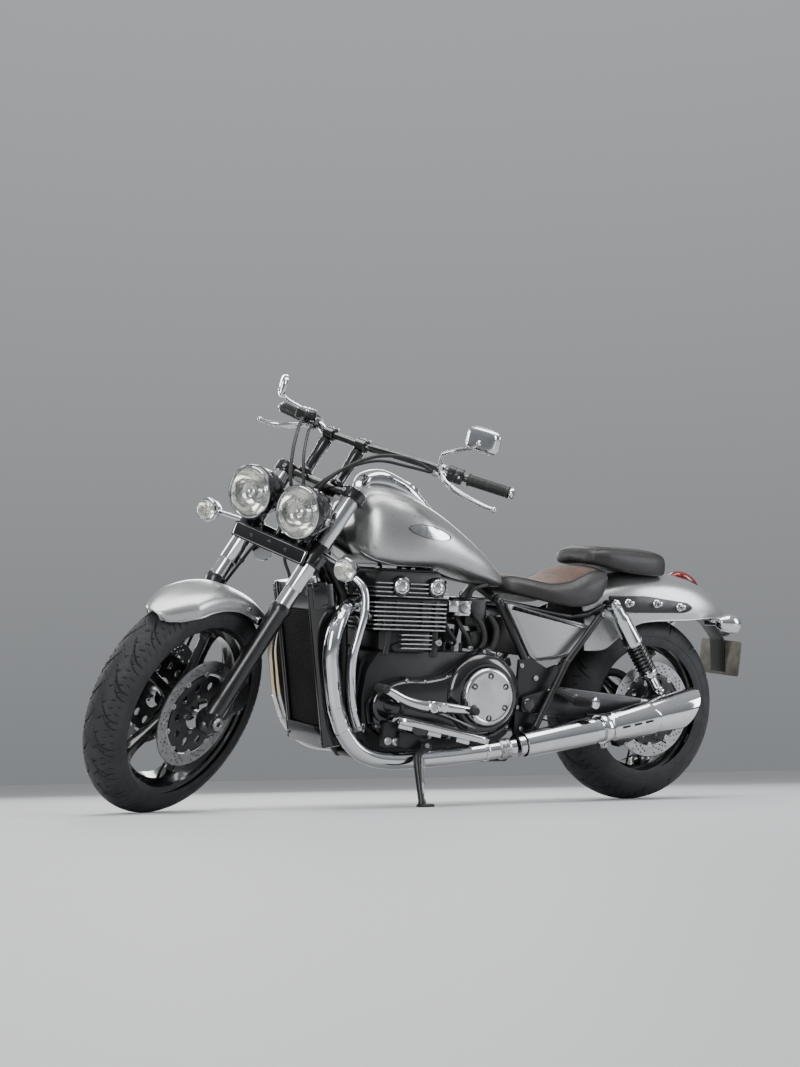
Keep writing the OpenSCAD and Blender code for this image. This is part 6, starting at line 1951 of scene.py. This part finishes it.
# %% Floorboards, levers and their bracket
feet = Shape()
BOARD = move(745, 206, 236) @ turn("Y", -12)
outline = rounded([(0, 8), (22, 0), (286, 0), (308, 14), (308, 92), (282, 112), (24, 112), (0, 98)], 16, 6)
feet.add(slab(outline, 19, 4), BOARD @ move(0, 0, -8), 0, both=True)
pad = inset(outline, 9)
feet.add(slab(pad, 5, 1.6), BOARD @ move(0, 0, 9.5), 1, both=True)
ribs = row_of(box(5, 84, 3.4, 1.2, 2.4), 21, (12.6, 0, 0), RUBBER)
feet.add(ribs, BOARD @ move(28, 56, 15.2), 1, both=True)
for x in (50, 150, 250):
    feet.add(box(46, 10, 16, 3, 4), BOARD @ move(x, 30, -14), 0, both=True)
feet.plate([[1046, 278], [1046, 212], [990, 210], [964, 236], [966, 262], [1000, 290]], 178, 204, edge=4,
           corner=10, finish=2, both=True)
for x, z in ((1030, 230), (1004, 228)):
    feet.add(turned([(12, 0), (12, 4), (10, 6), (5.4, 6), (5, 3), (0.01, 3)], 32), move(x, 204, z) @ ACROSS,
             3, both=True)
feet.rod((1010, 176, 240), (1010, 180, 240), 12, finish=3, both=True)
feet.plate([[1000, 262], [1000, 214], [936, 203], [906, 206], [906, 236], [936, 248]], 206, 219, edge=3,
           corner=10, finish=2)
# heel and toe lever: one forged arm, round in section and waisted at the pivot
feet.add(tube([(1090, 262, 386), (1062, 262, 378), (1010, 262, 352), (960, 262, 338), (921, 262, 334),
               (870, 262, 331), (820, 262, 326), (788, 262, 324)],
              [8, 11, 15, 17, 18, 16, 13, 9], 28, 7, flat=0.55), None, 4, both=True)
feet.add(turned([(0.01, -14), (15, -14), (18, -11), (18.6, 0), (18, 11), (15, 14), (11, 14.6), (10, 12),
                 (0.01, 12)], 44), move(921, 262, 334) @ ACROSS, 4, both=True)
feet.add(turned([(0.01, 13), (8, 13), (9, 12)], 6), move(921, 262, 334) @ ACROSS, 3, both=True)
feet.add(turned([(0.01, -9), (12, -9), (14, -7), (14, 7), (12, 9), (8, 9.6), (0.01, 9.6)], 40),
         move(884, 262, 332) @ ACROSS, 4, both=True)
feet.rod((921, 176, 334), (921, 250, 334), 9.5, finish=3, both=True)
for x, z, y0, y1 in ((1089, 388, 236, 292), (786, 324, 240, 290)):
    feet.add(turned([(0.01, 0), (10, 0), (12.4, 2)]
                    + [q for k in range(8)
                       for q in ((12.6, 4 + 5.4 * k), (12.6, 7 + 5.4 * k), (11.4, 7.6 + 5.4 * k),
                                 (11.4, 8.8 + 5.4 * k))]
                    + [(12.4, y1 - y0 - 3), (10, y1 - y0), (0.01, y1 - y0)], 32), move(x, y0, z) @ ACROSS,
                    1, both=True)
# pedal return spring and the link rod to the gearbox
feet.add(tube([(10 * cos(a), 10 * sin(a), a * 1.25) for a in np.linspace(0, 2 * pi * 5, 90)], 1.6, 8, 1),
         move(921, 214, 334) @ ACROSS, 3, both=True)
feet.add(tube([(905, 238, 320), (840, 232, 300), (770, 214, 276), (716, 186, 262)], 4, 12, 5), None, 3,
         both=True)
feet.make("foot_control_set", "chassis", [CHROME, RUBBER, SATIN, STEEL, CHROME], ("foot_controls",),
          crease=36)

peg = Shape()
peg.add(tube([(426, 172, 376), (396, 182, 362), (366, 188, 348)], [10.5, 10, 13], 20, 6), None, 0,
        both=True)
q0, q1 = Vector((360, 184, 344)), Vector((343, 266, 346))
ql = (q1 - q0).length
peg.add(turned([(0.01, 0), (12, 0), (15, 3)]
               + [q for k in range(8)
                  for q in ((16.2, 8 + 8 * k), (16.2, 12.4 + 8 * k), (14.6, 13.2 + 8 * k),
                            (14.6, 15 + 8 * k))] + [(16, ql - 4), (14, ql)], 36), aim(q0, q1), 1, both=True)
peg.add(turned([(14, ql - 1), (17.4, ql), (18, ql + 2), (17.4, ql + 5), (12, ql + 6.6), (0.01, ql + 7)],
               40), aim(q0, q1), 2, both=True)
peg.add(moved(bolt(8, 5, False), move(0, 0, 0)), move(362, 186, 360), 3, both=True)
peg.make("passenger_peg_pair", "chassis", [SATIN, RUBBER, CHROME, STEEL], ("passenger_pegs",), crease=36)

# %% [markdown]
# The stand's hinge is set behind its foot, so the weight of the machine pushes it against its
# stop instead of folding it. A coil spring pulls it past centre either way.

# %% Side stand
TOP, KNEE, FOOT = Vector((922, 238, 216)), Vector((952, 244, 190)), Vector((962, 304, 61))
swing = (FOOT - TOP).cross(Vector((-0.99, 0.12, 0))).normalized()
stand = Shape()
stand.add(tube([tuple(TOP), (936, 240, 206), tuple(KNEE), (957, 262, 150), tuple(FOOT)],
               [13, 12, 11.5, 10.5, 9.5], 24, 7), None, 0)
stand.add(turned([(0.01, -9), (14, -9), (16.4, -7), (16.4, 7), (14, 9), (9, 9.4), (8.4, 11), (0.01, 11)],
                 40), aim(tuple(TOP), tuple(TOP + swing)), 0)
stand.add(turned([(0.01, 10), (8, 10), (8, 14), (0.01, 15)], 6), aim(tuple(TOP), tuple(TOP + swing)), 1)
spring = aim((938, 252, 196), (956, 292, 100))
stand.add(tube([(6 * cos(a), 6 * sin(a), 8 + a * 0.86) for a in np.linspace(0, 2 * pi * 14, 14 * 16)], 1.6,
               8, 1), spring, 1)
stand.rod((938, 252, 196), (941, 258, 184), 2.4, finish=1)
stand.rod(tuple(spring @ Vector((0, 0, 82))), (957, 298, 92), 2.4, finish=1)
stand.add(box(10, 12, 10, 2, 3), move(957, 292, 92), 0)
# foot: a flat plate lying on the ground, so it is placed level in the row frame
foot = PARK @ FOOT
level = PARK.inverted() @ Matrix.Translation((foot.x - 0.006, foot.y + 0.008, 0)) @ Matrix.Scale(0.001, 4)
stand.add(turned([(0.01, 0.2), (24, 0.2), (26, 1.6), (26, 6), (23.5, 8.6), (12, 9.4), (0.01, 9.6)], 44),
          level, 0)
stand.add(loft([[tuple(level @ Vector((6 + (13 - 3 * h) * cos(a), -8 + (12 - 3 * h) * sin(a), 6 + 16 * h)))
                 for a in np.linspace(0, 2 * pi, 28, endpoint=False)] for h in (0, 0.5, 1)]), None, 0)
stand.make("side_stand_leg", "side_stand", [SATIN, STEEL], ("side_stand",), crease=36)
